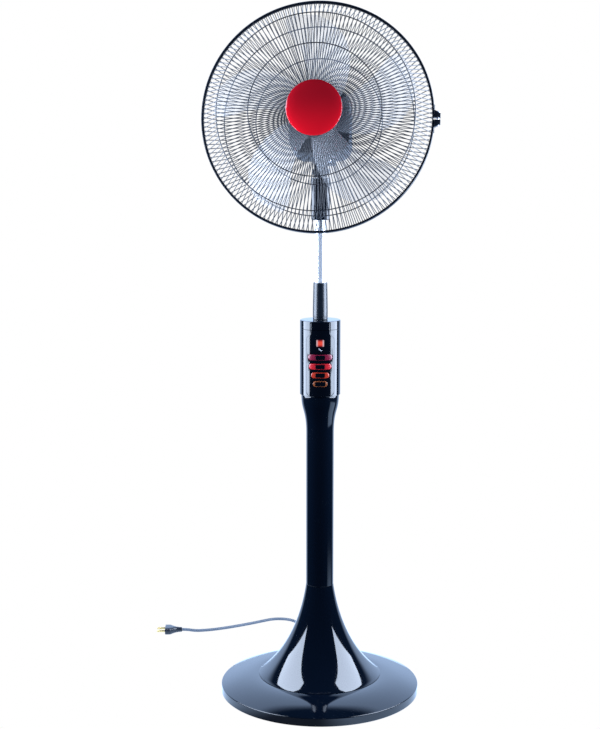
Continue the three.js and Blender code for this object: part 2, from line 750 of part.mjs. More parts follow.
function addKnuckle(group) {
  const half = KNUCKLE_WIDTH / 2;
  const slot = TONGUE_WIDTH / 2 + GAP;
  const deep = KNUCKLE_DEPTH / 2;
  const eye = bar(new THREE.Vector3(-half, 0, 0), new THREE.Vector3(half, 0, 0), TILT_EYE_RADIUS);
  const cheeks = block([-half, half], [-TILT_EYE_RADIUS, TILT_EYE_RADIUS], [0, TILT_EYE_RADIUS + 2]);
  const shoulder = block([-half, half], [-deep, deep], [TILT_EYE_RADIUS + 1, KNUCKLE_SHOULDER]);
  const boss = disc(KNUCKLE_BOSS_RADIUS, KNUCKLE_SHOULDER - 1, knuckleTop);
  const lugTop = linkTop - LINK_THICKNESS - 4;
  const lug = block([half - 2, STUD_OFFSET + 5], [-6, 6], [TILT_EYE_RADIUS + 1, lugTop]);
  const studTop = linkTop - LINK_THICKNESS - 2 * GAP;
  const stud = disc(LINK_STUD_RADIUS, TILT_EYE_RADIUS + 2, studTop, 12).translate(STUD_OFFSET, 0, 0);
  const tongueRoom = join(
    bar(new THREE.Vector3(-slot, 0, 0), new THREE.Vector3(slot, 0, 0), TILT_EYE_RADIUS + 0.8, 20),
    block([-slot, slot], [-deep - 1, deep + 1], [-TILT_EYE_RADIUS - 1, 0]),
  );
  const boltBore = bar(
    new THREE.Vector3(-half - 1, 0, 0),
    new THREE.Vector3(half + 1, 0, 0),
    TILT_BOLT_RADIUS + RUNNING_GAP,
  );
  const pivotBore = disc(PIVOT_RADIUS + RUNNING_GAP, knuckleTop - PIVOT_LENGTH - 1, knuckleTop + 1);
  const knuckle = cut(join(eye, cheeks, shoulder, boss, lug, stud), tongueRoom, boltBore, pivotBore);
  piece(group, "tilt_knuckle", knuckle, glossBlack());

  const boltHead = bar(
    new THREE.Vector3(-half - 3.3, 0, 0),
    new THREE.Vector3(-half - GAP, 0, 0),
    2 * TILT_BOLT_RADIUS,
    6,
  );
  const boltShank = bar(
    new THREE.Vector3(-half - 1, 0, 0),
    new THREE.Vector3(half + 4.5, 0, 0),
    TILT_BOLT_RADIUS,
  );
  piece(group, "tilt_bolt", join(boltHead, boltShank), zinc());
  const nut = bar(
    new THREE.Vector3(half + GAP, 0, 0),
    new THREE.Vector3(half + 3.8, 0, 0),
    2 * TILT_BOLT_RADIUS,
    6,
  );
  const nutBore = bar(
    new THREE.Vector3(half, 0, 0),
    new THREE.Vector3(half + 5, 0, 0),
    TILT_BOLT_RADIUS + RUNNING_GAP,
  );
  piece(group, "tilt_nut", cut(nut, nutBore), zinc());
}

// ---- Swing drive, in the frame of the swung head ------------------------------------------------------

function addSwingDrive(group) {
  const crankBottom = linkTop + GAP;
  const motorBottom = shaftHeight - coverHalf + COVER_WALL + 2;
  const turn = THREE.MathUtils.degToRad(-CRANK_RATIO * HEAD_SWING_DEG);
  const crank = new THREE.Group();
  crank.position.set(SWING_MOTOR_SIDE, SWING_MOTOR_BACK, 0);
  crank.rotation.z = turn;
  group.add(crank);
  const plate = disc(CRANK_RADIUS, crankBottom, crankTop);
  const pinBottom = linkTop - LINK_THICKNESS - GAP;
  const pin = disc(CRANK_PIN_RADIUS, pinBottom, crankBottom + 1, 12).translate(CRANK_THROW, 0, 0);
  const shaft = disc(CRANK_SHAFT_RADIUS, crankTop - 1, motorBottom - GAP, 12);
  piece(crank, "swing_crank", join(plate, pin, shaft), zinc());

  // The link runs from the crank's pin to a point over the knuckle's stud, at rest.
  const swing = THREE.MathUtils.degToRad(-HEAD_SWING_DEG);
  const pinPlace = new THREE.Vector2(
    SWING_MOTOR_SIDE + CRANK_THROW * Math.cos(turn),
    SWING_MOTOR_BACK + CRANK_THROW * Math.sin(turn),
  );
  const studPlace = new THREE.Vector2(STUD_OFFSET * Math.cos(swing), STUD_OFFSET * Math.sin(swing));
  const length = pinPlace.distanceTo(studPlace);
  const nearlyRound = LINK_WIDTH / 2 - 0.01;
  const outline = roundedRectangle(length + LINK_WIDTH, LINK_WIDTH, nearlyRound, [length / 2, 0]);
  const body = pillar(outline, linkTop - LINK_THICKNESS, linkTop, 6);
  const pinHole = disc(CRANK_PIN_RADIUS + RUNNING_GAP, 0, knuckleTop, 16);
  const studHole = disc(LINK_STUD_RADIUS + RUNNING_GAP, 0, knuckleTop, 16).translate(length, 0, 0);
  const link = piece(group, "swing_link", cut(body, pinHole, studHole), zinc());
  link.position.set(pinPlace.x, pinPlace.y, 0);
  link.rotation.z = studPlace.sub(pinPlace).angle();

  const motorTop = motorBottom + SWING_MOTOR_HEIGHT;
  const motor = join(
    disc(SWING_MOTOR_RADIUS, motorBottom, motorTop),
    disc(CRANK_SHAFT_RADIUS + 3, motorTop - 1, motorTop + 3, 12),
  );
  const swingMotor = piece(group, "swing_motor", motor, castAluminium());
  swingMotor.position.set(SWING_MOTOR_SIDE, SWING_MOTOR_BACK, 0);
}

// ---- Motor, with local Z along the shaft towards the front and local Y up -----------------------------

function addMotor(group) {
  const outer = roundedRectangle(2 * coverHalf, 2 * coverHalf, COVER_CORNER);
  const bore = coverHalf - COVER_WALL;
  const inner = roundedRectangle(2 * bore, 2 * bore, COVER_CORNER - COVER_WALL);
  const edge = {
    bevelThickness: COVER_ROUNDING,
    bevelSize: COVER_ROUNDING,
    bevelOffset: -COVER_ROUNDING,
    bevelSegments: 3,
    curveSegments: 3,
  };
  const around = [-coverHalf - 9, coverHalf + 9];
  const split = block(around, around, [COVER_SPLIT - GAP, 99]);
  const rearDepth = COVER_SPLIT - COVER_BACK;
  const rearSkin = new THREE.ExtrudeGeometry(outer, { ...edge, depth: rearDepth });
  const rearRoom = new THREE.ExtrudeGeometry(inner, { ...edge, depth: rearDepth });
  const crankHole = bar(
    new THREE.Vector3(SWING_MOTOR_SIDE, -coverHalf - 1, -SWING_MOTOR_BACK),
    new THREE.Vector3(SWING_MOTOR_SIDE, -bore + 2, -SWING_MOTOR_BACK),
    CRANK_SHAFT_RADIUS + 1,
    12,
  );
  const slots = [-2, -1, 0, 1, 2].map((row) =>
    block([-30, 30], [row * 11 - 2, row * 11 + 2], [COVER_BACK - 1, COVER_BACK + COVER_WALL + 1]),
  );
  const rear = cut(
    rearSkin.translate(0, 0, COVER_BACK + COVER_ROUNDING),
    rearRoom.translate(0, 0, COVER_BACK + COVER_ROUNDING + COVER_WALL),
    split,
    crankHole,
    ...slots,
  );
  piece(group, "motor_cover_rear", rear, glossBlack());

  const frontSkin = pillar(outer, COVER_SPLIT, coverFront);
  const frontRoom = pillar(inner, COVER_SPLIT - 1, coverFront - COVER_WALL);
  const boss = disc(GUARD_BOSS_RADIUS, coverFront - 1, coverFront + GUARD_BOSS_LENGTH);
  const shaftHole = disc(SHAFT_RADIUS + 1.5, coverFront - 9, coverFront + GUARD_BOSS_LENGTH + 1);
  const drop = (height) => height - shaftHeight;
  const pivotTip = drop(knuckleTop - PIVOT_LENGTH);
  const washerLow = drop(knuckleTop + GAP);
  const underside = new THREE.Vector3(0, -coverHalf + 1, 0);
  const pivot = bar(new THREE.Vector3(0, pivotTip, 0), underside, PIVOT_RADIUS);
  const washer = bar(new THREE.Vector3(0, washerLow, 0), underside, WASHER_RADIUS);
  const front = cut(join(cut(frontSkin, frontRoom), boss, washer, pivot), shaftHole);
  piece(group, "motor_cover_front", front, glossBlack());

  const statorShape = roundedRectangle(2 * STATOR_HALF, 2 * STATOR_HALF, 10);
  const statorBack = STATOR_FRONT - STATOR_LENGTH;
  const statorBore = disc(ROTOR_RADIUS + AIR_GAP, statorBack - 1, STATOR_FRONT + 1, 24);
  const stator = cut(pillar(statorShape, statorBack, STATOR_FRONT, 2), statorBore);
  piece(group, "stator_core", stator, copperBrown());
  const [rotorBack, rotorFront] = [statorBack + 1, STATOR_FRONT - 1];
  const rotor = ring(SHAFT_RADIUS + GAP, ROTOR_RADIUS, rotorBack, rotorFront, 24);
  piece(group, "rotor_core", rotor, steel());

  const bells = { front: STATOR_FRONT + 2, rear: statorBack - 2 - BUSH_LENGTH };
  for (const [side, low] of Object.entries(bells)) {
    const plateLow = side === "front" ? low : low + BUSH_LENGTH - BELL_THICKNESS;
    const bell = turned([
      [BUSH_RADIUS + GAP, low],
      [BUSH_RADIUS + 5, low],
      [BUSH_RADIUS + 5, low + BUSH_LENGTH],
      [BUSH_RADIUS + GAP, low + BUSH_LENGTH],
    ], 16);
    const plate = ring(BUSH_RADIUS + 2, BELL_RADIUS, plateLow, plateLow + BELL_THICKNESS, 16);
    piece(group, `end_bell_${side}`, join(bell, plate), castAluminium());
    const bush = ring(SHAFT_RADIUS + RUNNING_GAP, BUSH_RADIUS, low, low + BUSH_LENGTH, 16);
    piece(group, `bush_${side}`, bush, brass());
  }
  piece(group, "motor_shaft", disc(SHAFT_RADIUS, SHAFT_BACK, shaftFront), steel());

  const nutLow = coverFront + HUB_THICKNESS + 2 * GAP;
  const nut = turned([
    [GUARD_BOSS_RADIUS + GAP, nutLow],
    [RING_NUT_RADIUS, nutLow],
    [RING_NUT_RADIUS, nutLow + RING_NUT_THICKNESS - 2],
    [RING_NUT_RADIUS - 3, nutLow + RING_NUT_THICKNESS],
    [GUARD_BOSS_RADIUS + GAP, nutLow + RING_NUT_THICKNESS],
  ], 16);
  piece(group, "guard_ring_nut", nut, satinBlack());
}

// ---- Blade --------------------------------------------------------------------------------------------

/** One twisted blade on +X, about the hub's middle. */
function bladePetal() {
  const petal = new THREE.BoxGeometry(1, 1, 1, 6, 2, 1);
  const position = petal.attributes.position;
  const root = BLADE_HUB_RADIUS - 2;
  for (let i = 0; i < position.count; i++) {
    const outward = position.getX(i) + 0.5;
    const across = position.getY(i);
    const skin = position.getZ(i) * BLADE_THICKNESS;
    const radius = THREE.MathUtils.lerp(root, bladeRadius, outward);
    const pastShoulder = Math.max(0, (outward - BLADE_SHOULDER) / (1 - BLADE_SHOULDER));
    const roundTip = Math.sqrt(1 - 0.75 * pastShoulder ** 2);
    const widening = Math.sin((outward * Math.PI) / 2);
    const chord = roundTip * THREE.MathUtils.lerp(BLADE_ROOT_CHORD, BLADE_TIP_CHORD, widening);
    const pitch = THREE.MathUtils.degToRad(
      THREE.MathUtils.lerp(BLADE_ROOT_PITCH_DEG, BLADE_TIP_PITCH_DEG, outward),
    );
    const sweepTurn = THREE.MathUtils.degToRad(BLADE_SWEEP_DEG * outward ** 1.5);
    const angle = (across * chord * Math.cos(pitch)) / radius + sweepTurn;
    const forward = across * chord * Math.sin(pitch) + skin;
    position.setXYZ(i, radius * Math.cos(angle), radius * Math.sin(angle), forward);
  }
  return petal;
}

function addBlade(group) {
  const half = BLADE_HUB_LENGTH / 2;
  const bore = SHAFT_RADIUS + GAP;
  const hub = turned([
    [bore, -half],
    [bore + 6, -half],
    [bore + 6, half - BLADE_HUB_WALL],
    [BLADE_HUB_RADIUS - BLADE_HUB_WALL, half - BLADE_HUB_WALL],
    [BLADE_HUB_RADIUS - BLADE_HUB_WALL, -half],
    [BLADE_HUB_RADIUS, -half],
    [BLADE_HUB_RADIUS, half - 3],
    [BLADE_HUB_RADIUS - 3, half],
    [bore, half],
  ], 24);
  const hollow = ring(bore + 1, BLADE_HUB_RADIUS - BLADE_HUB_WALL, -half - 1, half - BLADE_HUB_WALL, 24);
  const petals = Array.from({ length: BLADE_COUNT }, (_, i) =>
    bladePetal().rotateZ((i * 2 * Math.PI) / BLADE_COUNT),
  );
  const rootRoom = cut(hollow, ring(0.1, bore + 6, -half - 2, half, 24));
  const whole = join(hub, cut(join(...petals), disc(BLADE_HUB_RADIUS - 1, -2 * half, 2 * half, 24)));
  piece(group, "fan_blade", cut(whole, rootRoom), bladePlastic()).position.z = BLADE_FORWARD;

  const spinnerLow = BLADE_FORWARD + half + GAP;
  const spinner = turned([
    [SHAFT_RADIUS + GAP, spinnerLow],
    [SPINNER_RADIUS, spinnerLow],
    [SPINNER_RADIUS, spinnerLow + SPINNER_LENGTH - 7],
    [SPINNER_RADIUS - 5, spinnerLow + SPINNER_LENGTH],
    [0, spinnerLow + SPINNER_LENGTH],
    [0, shaftFront + GAP],
    [SHAFT_RADIUS + GAP, shaftFront + GAP],
  ], 16);
  piece(group, "blade_spinner", spinner, satinBlack());
}

// ---- Guards, with local Z ahead of the rim's plane ----------------------------------------------------

/** A round wire bent into a ring. */
function wireRing(radius, forward, wire, sides = 2 * GUARD_WIRES) {
  return new THREE.TorusGeometry(radius, wire, 4, sides).translate(0, 0, forward);
}

/** A square wire over +X that bends at [radius, forward] stations. */
function bentWire(stations) {
  const wire = new THREE.BoxGeometry(1, 1, 1, stations.length - 1, 1, 1);
  const position = wire.attributes.position;
  const half = WIRE_RADIUS * 0.85;
  for (let i = 0; i < position.count; i++) {
    const place = Math.round((position.getX(i) + 0.5) * (stations.length - 1));
    const [radius, forward] = stations[place];
    position.setXYZ(i, radius, 2 * half * position.getY(i), forward + 2 * half * position.getZ(i));
  }
  return wire;
}

/** Radial wires through [radius, forward] stations, with the rings that they cross. */
function cage(stations, hub, rings) {
  const spokes = Array.from({ length: GUARD_WIRES }, (_, i) =>
    bentWire(stations).rotateZ(((i + 0.5) * 2 * Math.PI) / GUARD_WIRES),
  );
  return join(hub, ...rings, ...spokes);
}

function addGuards(group) {
  const rimRadius = GUARD_RADIUS - RIM_WIRE_RADIUS;
  const rimOffset = RIM_WIRE_RADIUS + GAP / 2;
  const frontHub = ring(
    FRONT_HUB_RADIUS - FRONT_HUB_WIDTH,
    FRONT_HUB_RADIUS,
    FRONT_HUB_FORWARD - HUB_THICKNESS,
    FRONT_HUB_FORWARD,
    2 * GUARD_WIRES,
  );
  const frontSeat = [FRONT_HUB_RADIUS - 2, FRONT_HUB_FORWARD - HUB_THICKNESS / 2];
  const front = cage(
    [frontSeat, ...[...frontRings].reverse(), [rimRadius, rimOffset]],
    frontHub,
    [
      wireRing(rimRadius, rimOffset, RIM_WIRE_RADIUS, RIM_SIDES),
      ...frontRings.map(([radius, forward]) => wireRing(radius, forward, 1.3 * WIRE_RADIUS)),
    ],
  );
  piece(group, "front_guard", front, wireBlack());

  const rearHub = ring(
    GUARD_BOSS_RADIUS + GAP,
    REAR_HUB_RADIUS,
    REAR_HUB_FORWARD,
    REAR_HUB_FORWARD + HUB_THICKNESS,
    2 * GUARD_WIRES,
  );
  const rearSeat = [REAR_HUB_RADIUS - 2, REAR_HUB_FORWARD + HUB_THICKNESS / 2];
  const rear = cage(
    [rearSeat, ...[...rearRings].reverse(), [rimRadius, -rimOffset]],
    rearHub,
    [
      wireRing(rimRadius, -rimOffset, RIM_WIRE_RADIUS, RIM_SIDES),
      ...rearRings.map(([radius, forward]) => wireRing(radius, forward, 1.3 * WIRE_RADIUS)),
    ],
  );
  piece(group, "rear_guard", rear, wireBlack());

  const bandBore = GUARD_RADIUS + GAP;
  const lip = GUARD_RADIUS - RIM_WIRE_RADIUS + GAP;
  const half = BAND_WIDTH / 2;
  const groove = 2 * RIM_WIRE_RADIUS + 0.5;
  const hoop = turned([
    [bandBore, -groove],
    [bandBore, groove],
    [lip, groove],
    [lip, half],
    [bandBore + BAND_WALL, half],
    [bandBore + BAND_WALL, -half],
    [lip, -half],
    [lip, -groove],
  ], RIM_SIDES);
  const slit = block([0, bandBore + 20], [-BAND_GAP / 2, BAND_GAP / 2], [-half - 1, half + 1]);
  const earRoot = bandBore + BAND_WALL - 1;
  const earTip = bandBore + BAND_WALL + EAR_PROUD;
  const screwPlace = earTip - 2 * BAND_SCREW_RADIUS - 1;
  const earFace = BAND_GAP / 2 + EAR_THICKNESS;
  const screwHole = bar(
    new THREE.Vector3(screwPlace, -earFace - 9, 0),
    new THREE.Vector3(screwPlace, earFace + 9, 0),
    BAND_SCREW_RADIUS + RUNNING_GAP,
    12,
  );
  const ears = [-1, 1].map((side) => {
    const shape = new THREE.Shape();
    shape.moveTo(earRoot, (side * BAND_GAP) / 2);
    shape.lineTo(earTip, (side * BAND_GAP) / 2);
    shape.lineTo(earTip, side * earFace);
    shape.lineTo(earTip - 4 * BAND_SCREW_RADIUS - 2, side * earFace);
    shape.lineTo(earRoot, side * (BAND_GAP / 2 + EAR_ROOT_LENGTH));
    return pillar(shape, -EAR_DEPTH / 2, EAR_DEPTH / 2);
  });
  piece(group, "guard_band", cut(join(cut(hoop, slit), ...ears), screwHole), satinBlack());
  const shank = bar(
    new THREE.Vector3(screwPlace, -earFace - 3, 0),
    new THREE.Vector3(screwPlace, earFace + 1, 0),
    BAND_SCREW_RADIUS,
    12,
  );
  const screwHead = bar(
    new THREE.Vector3(screwPlace, earFace + GAP, 0),
    new THREE.Vector3(screwPlace, earFace + GAP + 2.5, 0),
    2 * BAND_SCREW_RADIUS,
    12,
  );
  piece(group, "band_screw", join(shank, screwHead), zinc());

  const capLow = FRONT_HUB_FORWARD + GAP;
  const dome = sweep(
    [CAP_RADIUS, capLow + CAP_EDGE],
    [0.8 * CAP_RADIUS, capLow + CAP_EDGE + 0.9 * CAP_RISE],
    [0.4 * CAP_RADIUS, capLow + CAP_EDGE + CAP_RISE],
    [0, capLow + CAP_EDGE + CAP_RISE],
    4,
  );
  piece(group, "center_cap", turned([[0, capLow], [CAP_RADIUS, capLow], ...dome]), redGloss());
}

// ---- Mains lead ---------------------------------------------------------------------------------------

function addCord(group) {
  const cordLow = CORD_RADIUS + 0.15;
  const glandMiddle = FOOT_HEIGHT + GLAND_HEIGHT / 2;
  const glandBack = BASE_RADIUS - BASE_WALL - 4 + GLAND_LENGTH;
  const halfGland = GLAND_WIDTH / 2;
  const glandBody = block(
    [-halfGland, halfGland],
    [BASE_RADIUS - BASE_WALL - 4, BASE_RADIUS + 1],
    [FOOT_HEIGHT + GAP, FOOT_HEIGHT + GLAND_HEIGHT],
  );
  const nose = bar(
    new THREE.Vector3(0, BASE_RADIUS, glandMiddle),
    new THREE.Vector3(0, glandBack, glandMiddle),
    GLAND_HEIGHT / 2 - GAP,
    12,
  );
  piece(group, "cord_gland", join(glandBody, nose), rubber());

  const coilOuter = COIL_MEAN_RADIUS + (COIL_TURNS_ACROSS * COIL_PITCH) / 2;
  const coilInner = COIL_MEAN_RADIUS - (COIL_TURNS_ACROSS * COIL_PITCH) / 2;
  const beside = coilOuter + CORD_RADIUS + GAP;
  const leadIn = tube(
    [
      [0, glandBack + GAP, glandMiddle],
      [0, glandBack + 8, glandMiddle - 0.8],
      [-8, glandBack + 28, cordLow],
      [-34, glandBack + 48, cordLow],
      [-beside, COIL_BACK - 22, cordLow],
      [-beside, COIL_BACK - 8, cordLow],
    ],
    CORD_RADIUS,
    12,
  );
  piece(group, "cord_lead_in", leadIn, cordGrey());
  const coil = ring(coilInner, coilOuter, 0.15, 0.15 + COIL_LAYERS * 2 * CORD_RADIUS, 24);
  piece(group, "cord_coil", coil, cordGrey()).position.y = COIL_BACK;

  const plugMiddle = PLUG_HEIGHT / 2 + 0.2;
  const plugStart = new THREE.Vector3(-313, 340, plugMiddle);
  const plugHeading = THREE.MathUtils.degToRad(183);
  const ahead = new THREE.Vector3(Math.cos(plugHeading), Math.sin(plugHeading), 0);
  const tailEnd = plugStart.clone().addScaledVector(ahead, -GAP);
  const tail = tube(
    [
      [-beside, COIL_BACK + 8, cordLow],
      [-beside - 1, COIL_BACK + 40, cordLow],
      [-50, 390, cordLow],
      [-58, 412, cordLow],
      [-84, 429, cordLow],
      [-112, 426, cordLow],
      [-148, 403, cordLow],
      [-192, 377, cordLow],
      [-240, 354, cordLow],
      [-282, 342, cordLow + 0.8],
      [-300, 340.6, plugMiddle - 0.6],
      tailEnd.toArray(),
    ],
    CORD_RADIUS,
    28,
  );
  piece(group, "cord_tail", tail, cordGrey());

  const plug = new THREE.Group();
  plug.position.copy(plugStart);
  plug.rotation.z = plugHeading;
  group.add(plug);
  const outline = new THREE.Shape();
  outline.moveTo(0, -CORD_RADIUS - 2);
  outline.lineTo(0.35 * PLUG_LENGTH, -CORD_RADIUS - 3);
  outline.lineTo(0.7 * PLUG_LENGTH, -PLUG_WIDTH / 2);
  outline.lineTo(PLUG_LENGTH, -PLUG_WIDTH / 2);
  outline.lineTo(PLUG_LENGTH, PLUG_WIDTH / 2);
  outline.lineTo(0.7 * PLUG_LENGTH, PLUG_WIDTH / 2);
  outline.lineTo(0.35 * PLUG_LENGTH, CORD_RADIUS + 3);
  outline.lineTo(0, CORD_RADIUS + 2);
  piece(plug, "plug_body", pillar(outline, -PLUG_HEIGHT / 2, PLUG_HEIGHT / 2), satinBlack());
  for (const [side, offset] of [["left", 1], ["right", -1]]) {
    const across = (offset * PLUG_PIN_SPACING) / 2;
    const pin = bar(
      new THREE.Vector3(PLUG_LENGTH + GAP, across, 0),
      new THREE.Vector3(PLUG_LENGTH + PLUG_PIN_LENGTH, across, 0),
      PLUG_PIN_RADIUS,
      12,
    );
    piece(plug, `plug_pin_${side}`, pin, brass());
  }
}

// ---- Assembly -----------------------------------------------------------------------------------------

const fan = new THREE.Group();
addBase(fan);
addColumn(fan);
addControlBox(fan);
addPole(fan);
addCord(fan);

const tilted = new THREE.Group();
tilted.position.z = tiltHeight;
tilted.rotation.x = THREE.MathUtils.degToRad(-HEAD_TILT_DEG);
fan.add(tilted);
addKnuckle(tilted);

const swung = new THREE.Group();
swung.rotation.z = THREE.MathUtils.degToRad(HEAD_SWING_DEG);
tilted.add(swung);
addSwingDrive(swung);

const onShaft = new THREE.Group();
onShaft.position.z = shaftHeight;
onShaft.rotation.x = Math.PI / 2;
swung.add(onShaft);
addMotor(onShaft);
addBlade(onShaft);

const rimPlane = new THREE.Group();
rimPlane.position.z = RIM_FORWARD;
rimPlane.rotation.z = THREE.MathUtils.degToRad(GUARD_TURN_DEG);
onShaft.add(rimPlane);
addGuards(rimPlane);

export default fan;
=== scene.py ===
"""A pedestal fan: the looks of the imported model, built in its frame.

Sizes in the classes are in millimetres, as a maker's drawing gives them; meshes are made in metres.
"""

import json
import logging
import math
from collections.abc import Callable, Iterable, Sequence
from dataclasses import dataclass, field
from enum import Enum

import bmesh
import bpy
from mathutils import Matrix, Vector

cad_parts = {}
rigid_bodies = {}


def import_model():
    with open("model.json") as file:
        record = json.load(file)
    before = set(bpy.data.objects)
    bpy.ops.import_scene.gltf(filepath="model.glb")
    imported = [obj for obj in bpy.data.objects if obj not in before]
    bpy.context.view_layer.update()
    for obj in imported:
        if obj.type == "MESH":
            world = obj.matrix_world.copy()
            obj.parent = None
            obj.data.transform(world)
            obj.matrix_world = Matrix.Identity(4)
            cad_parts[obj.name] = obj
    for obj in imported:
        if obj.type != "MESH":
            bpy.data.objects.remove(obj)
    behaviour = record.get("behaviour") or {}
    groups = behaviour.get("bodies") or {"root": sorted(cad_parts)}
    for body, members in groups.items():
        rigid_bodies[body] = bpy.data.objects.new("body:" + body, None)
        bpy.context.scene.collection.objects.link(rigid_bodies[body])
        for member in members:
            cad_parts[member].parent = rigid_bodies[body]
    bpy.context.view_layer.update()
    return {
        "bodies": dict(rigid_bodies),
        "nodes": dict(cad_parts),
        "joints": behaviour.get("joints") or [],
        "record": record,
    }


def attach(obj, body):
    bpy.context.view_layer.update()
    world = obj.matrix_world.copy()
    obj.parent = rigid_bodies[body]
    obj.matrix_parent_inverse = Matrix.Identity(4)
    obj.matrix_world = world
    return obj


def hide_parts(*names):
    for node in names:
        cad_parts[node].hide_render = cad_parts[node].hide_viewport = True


log = logging.getLogger("pedestal_fan")

MM = 0.001
TURN = 2 * math.pi
GAP = 0.3  # between pieces that don't touch
BOLT_BORE = 3.25  # holes for the tilt bolt and for the clamp knob's stem
# Stands a plate up: its X runs along Y and its Y upwards.
STANDING = Matrix(((0, 0, 1, 0), (1, 0, 0, 0), (0, 1, 0, 0), (0, 0, 0, 1)))
Outline = list[tuple[float, float]]
Colour = tuple[float, float, float]


# ---- Shader maths -----------------------------------------------------------------------------------


class Tone:
    """A quantity that varies over a surface: a node's output that takes part in sums."""

    def __init__(self, shader: "Shader", socket: bpy.types.NodeSocket) -> None:
        """Keeps the shader that the socket belongs to."""
        self.shader = shader
        self.socket = socket

    def _sum(self, operation: str, first: "Tone | float", second: "Tone | float") -> "Tone":
        """Adds a Math node.

        Args:
            operation: The Math node's operation.
            first: Its first value.
            second: Its second value.

        Returns:
            The node's result.
        """
        return self.shader.node("ShaderNodeMath", {"operation": operation}, {0: first, 1: second})

    def __add__(self, other: "Tone | float") -> "Tone":
        """self + other."""
        return self._sum("ADD", self, other)

    def __radd__(self, other: float) -> "Tone":
        """other + self."""
        return self._sum("ADD", other, self)

    def __sub__(self, other: "Tone | float") -> "Tone":
        """self - other."""
        return self._sum("SUBTRACT", self, other)

    def __rsub__(self, other: float) -> "Tone":
        """other - self."""
        return self._sum("SUBTRACT", other, self)

    def __mul__(self, other: "Tone | float") -> "Tone":
        """self * other."""
        return self._sum("MULTIPLY", self, other)

    def __rmul__(self, other: float) -> "Tone":
        """other * self."""
        return self._sum("MULTIPLY", other, self)

    def __truediv__(self, other: "Tone | float") -> "Tone":
        """self / other."""
        return self._sum("DIVIDE", self, other)

    def __pow__(self, other: "Tone | float") -> "Tone":
        """self ** other."""
        return self._sum("POWER", self, other)

    def size(self) -> "Tone":
        """The value without its sign."""
        return self._sum("ABSOLUTE", self, 0.0)

    def maximum(self, other: "Tone | float") -> "Tone":
        """The larger of self and other."""
        return self._sum("MAXIMUM", self, other)

    def ramp(self, low: float, high: float) -> "Tone":
        """A smooth step.

        Args:
            low: Where the result is 0.
            high: Where the result is 1.

        Returns:
            The value eased from 0 to 1.
        """
        settings = {"interpolation_type": "SMOOTHSTEP"}
        return self.shader.node("ShaderNodeMapRange", settings, {0: self, 1: low, 2: high, 3: 0.0, 4: 1.0})


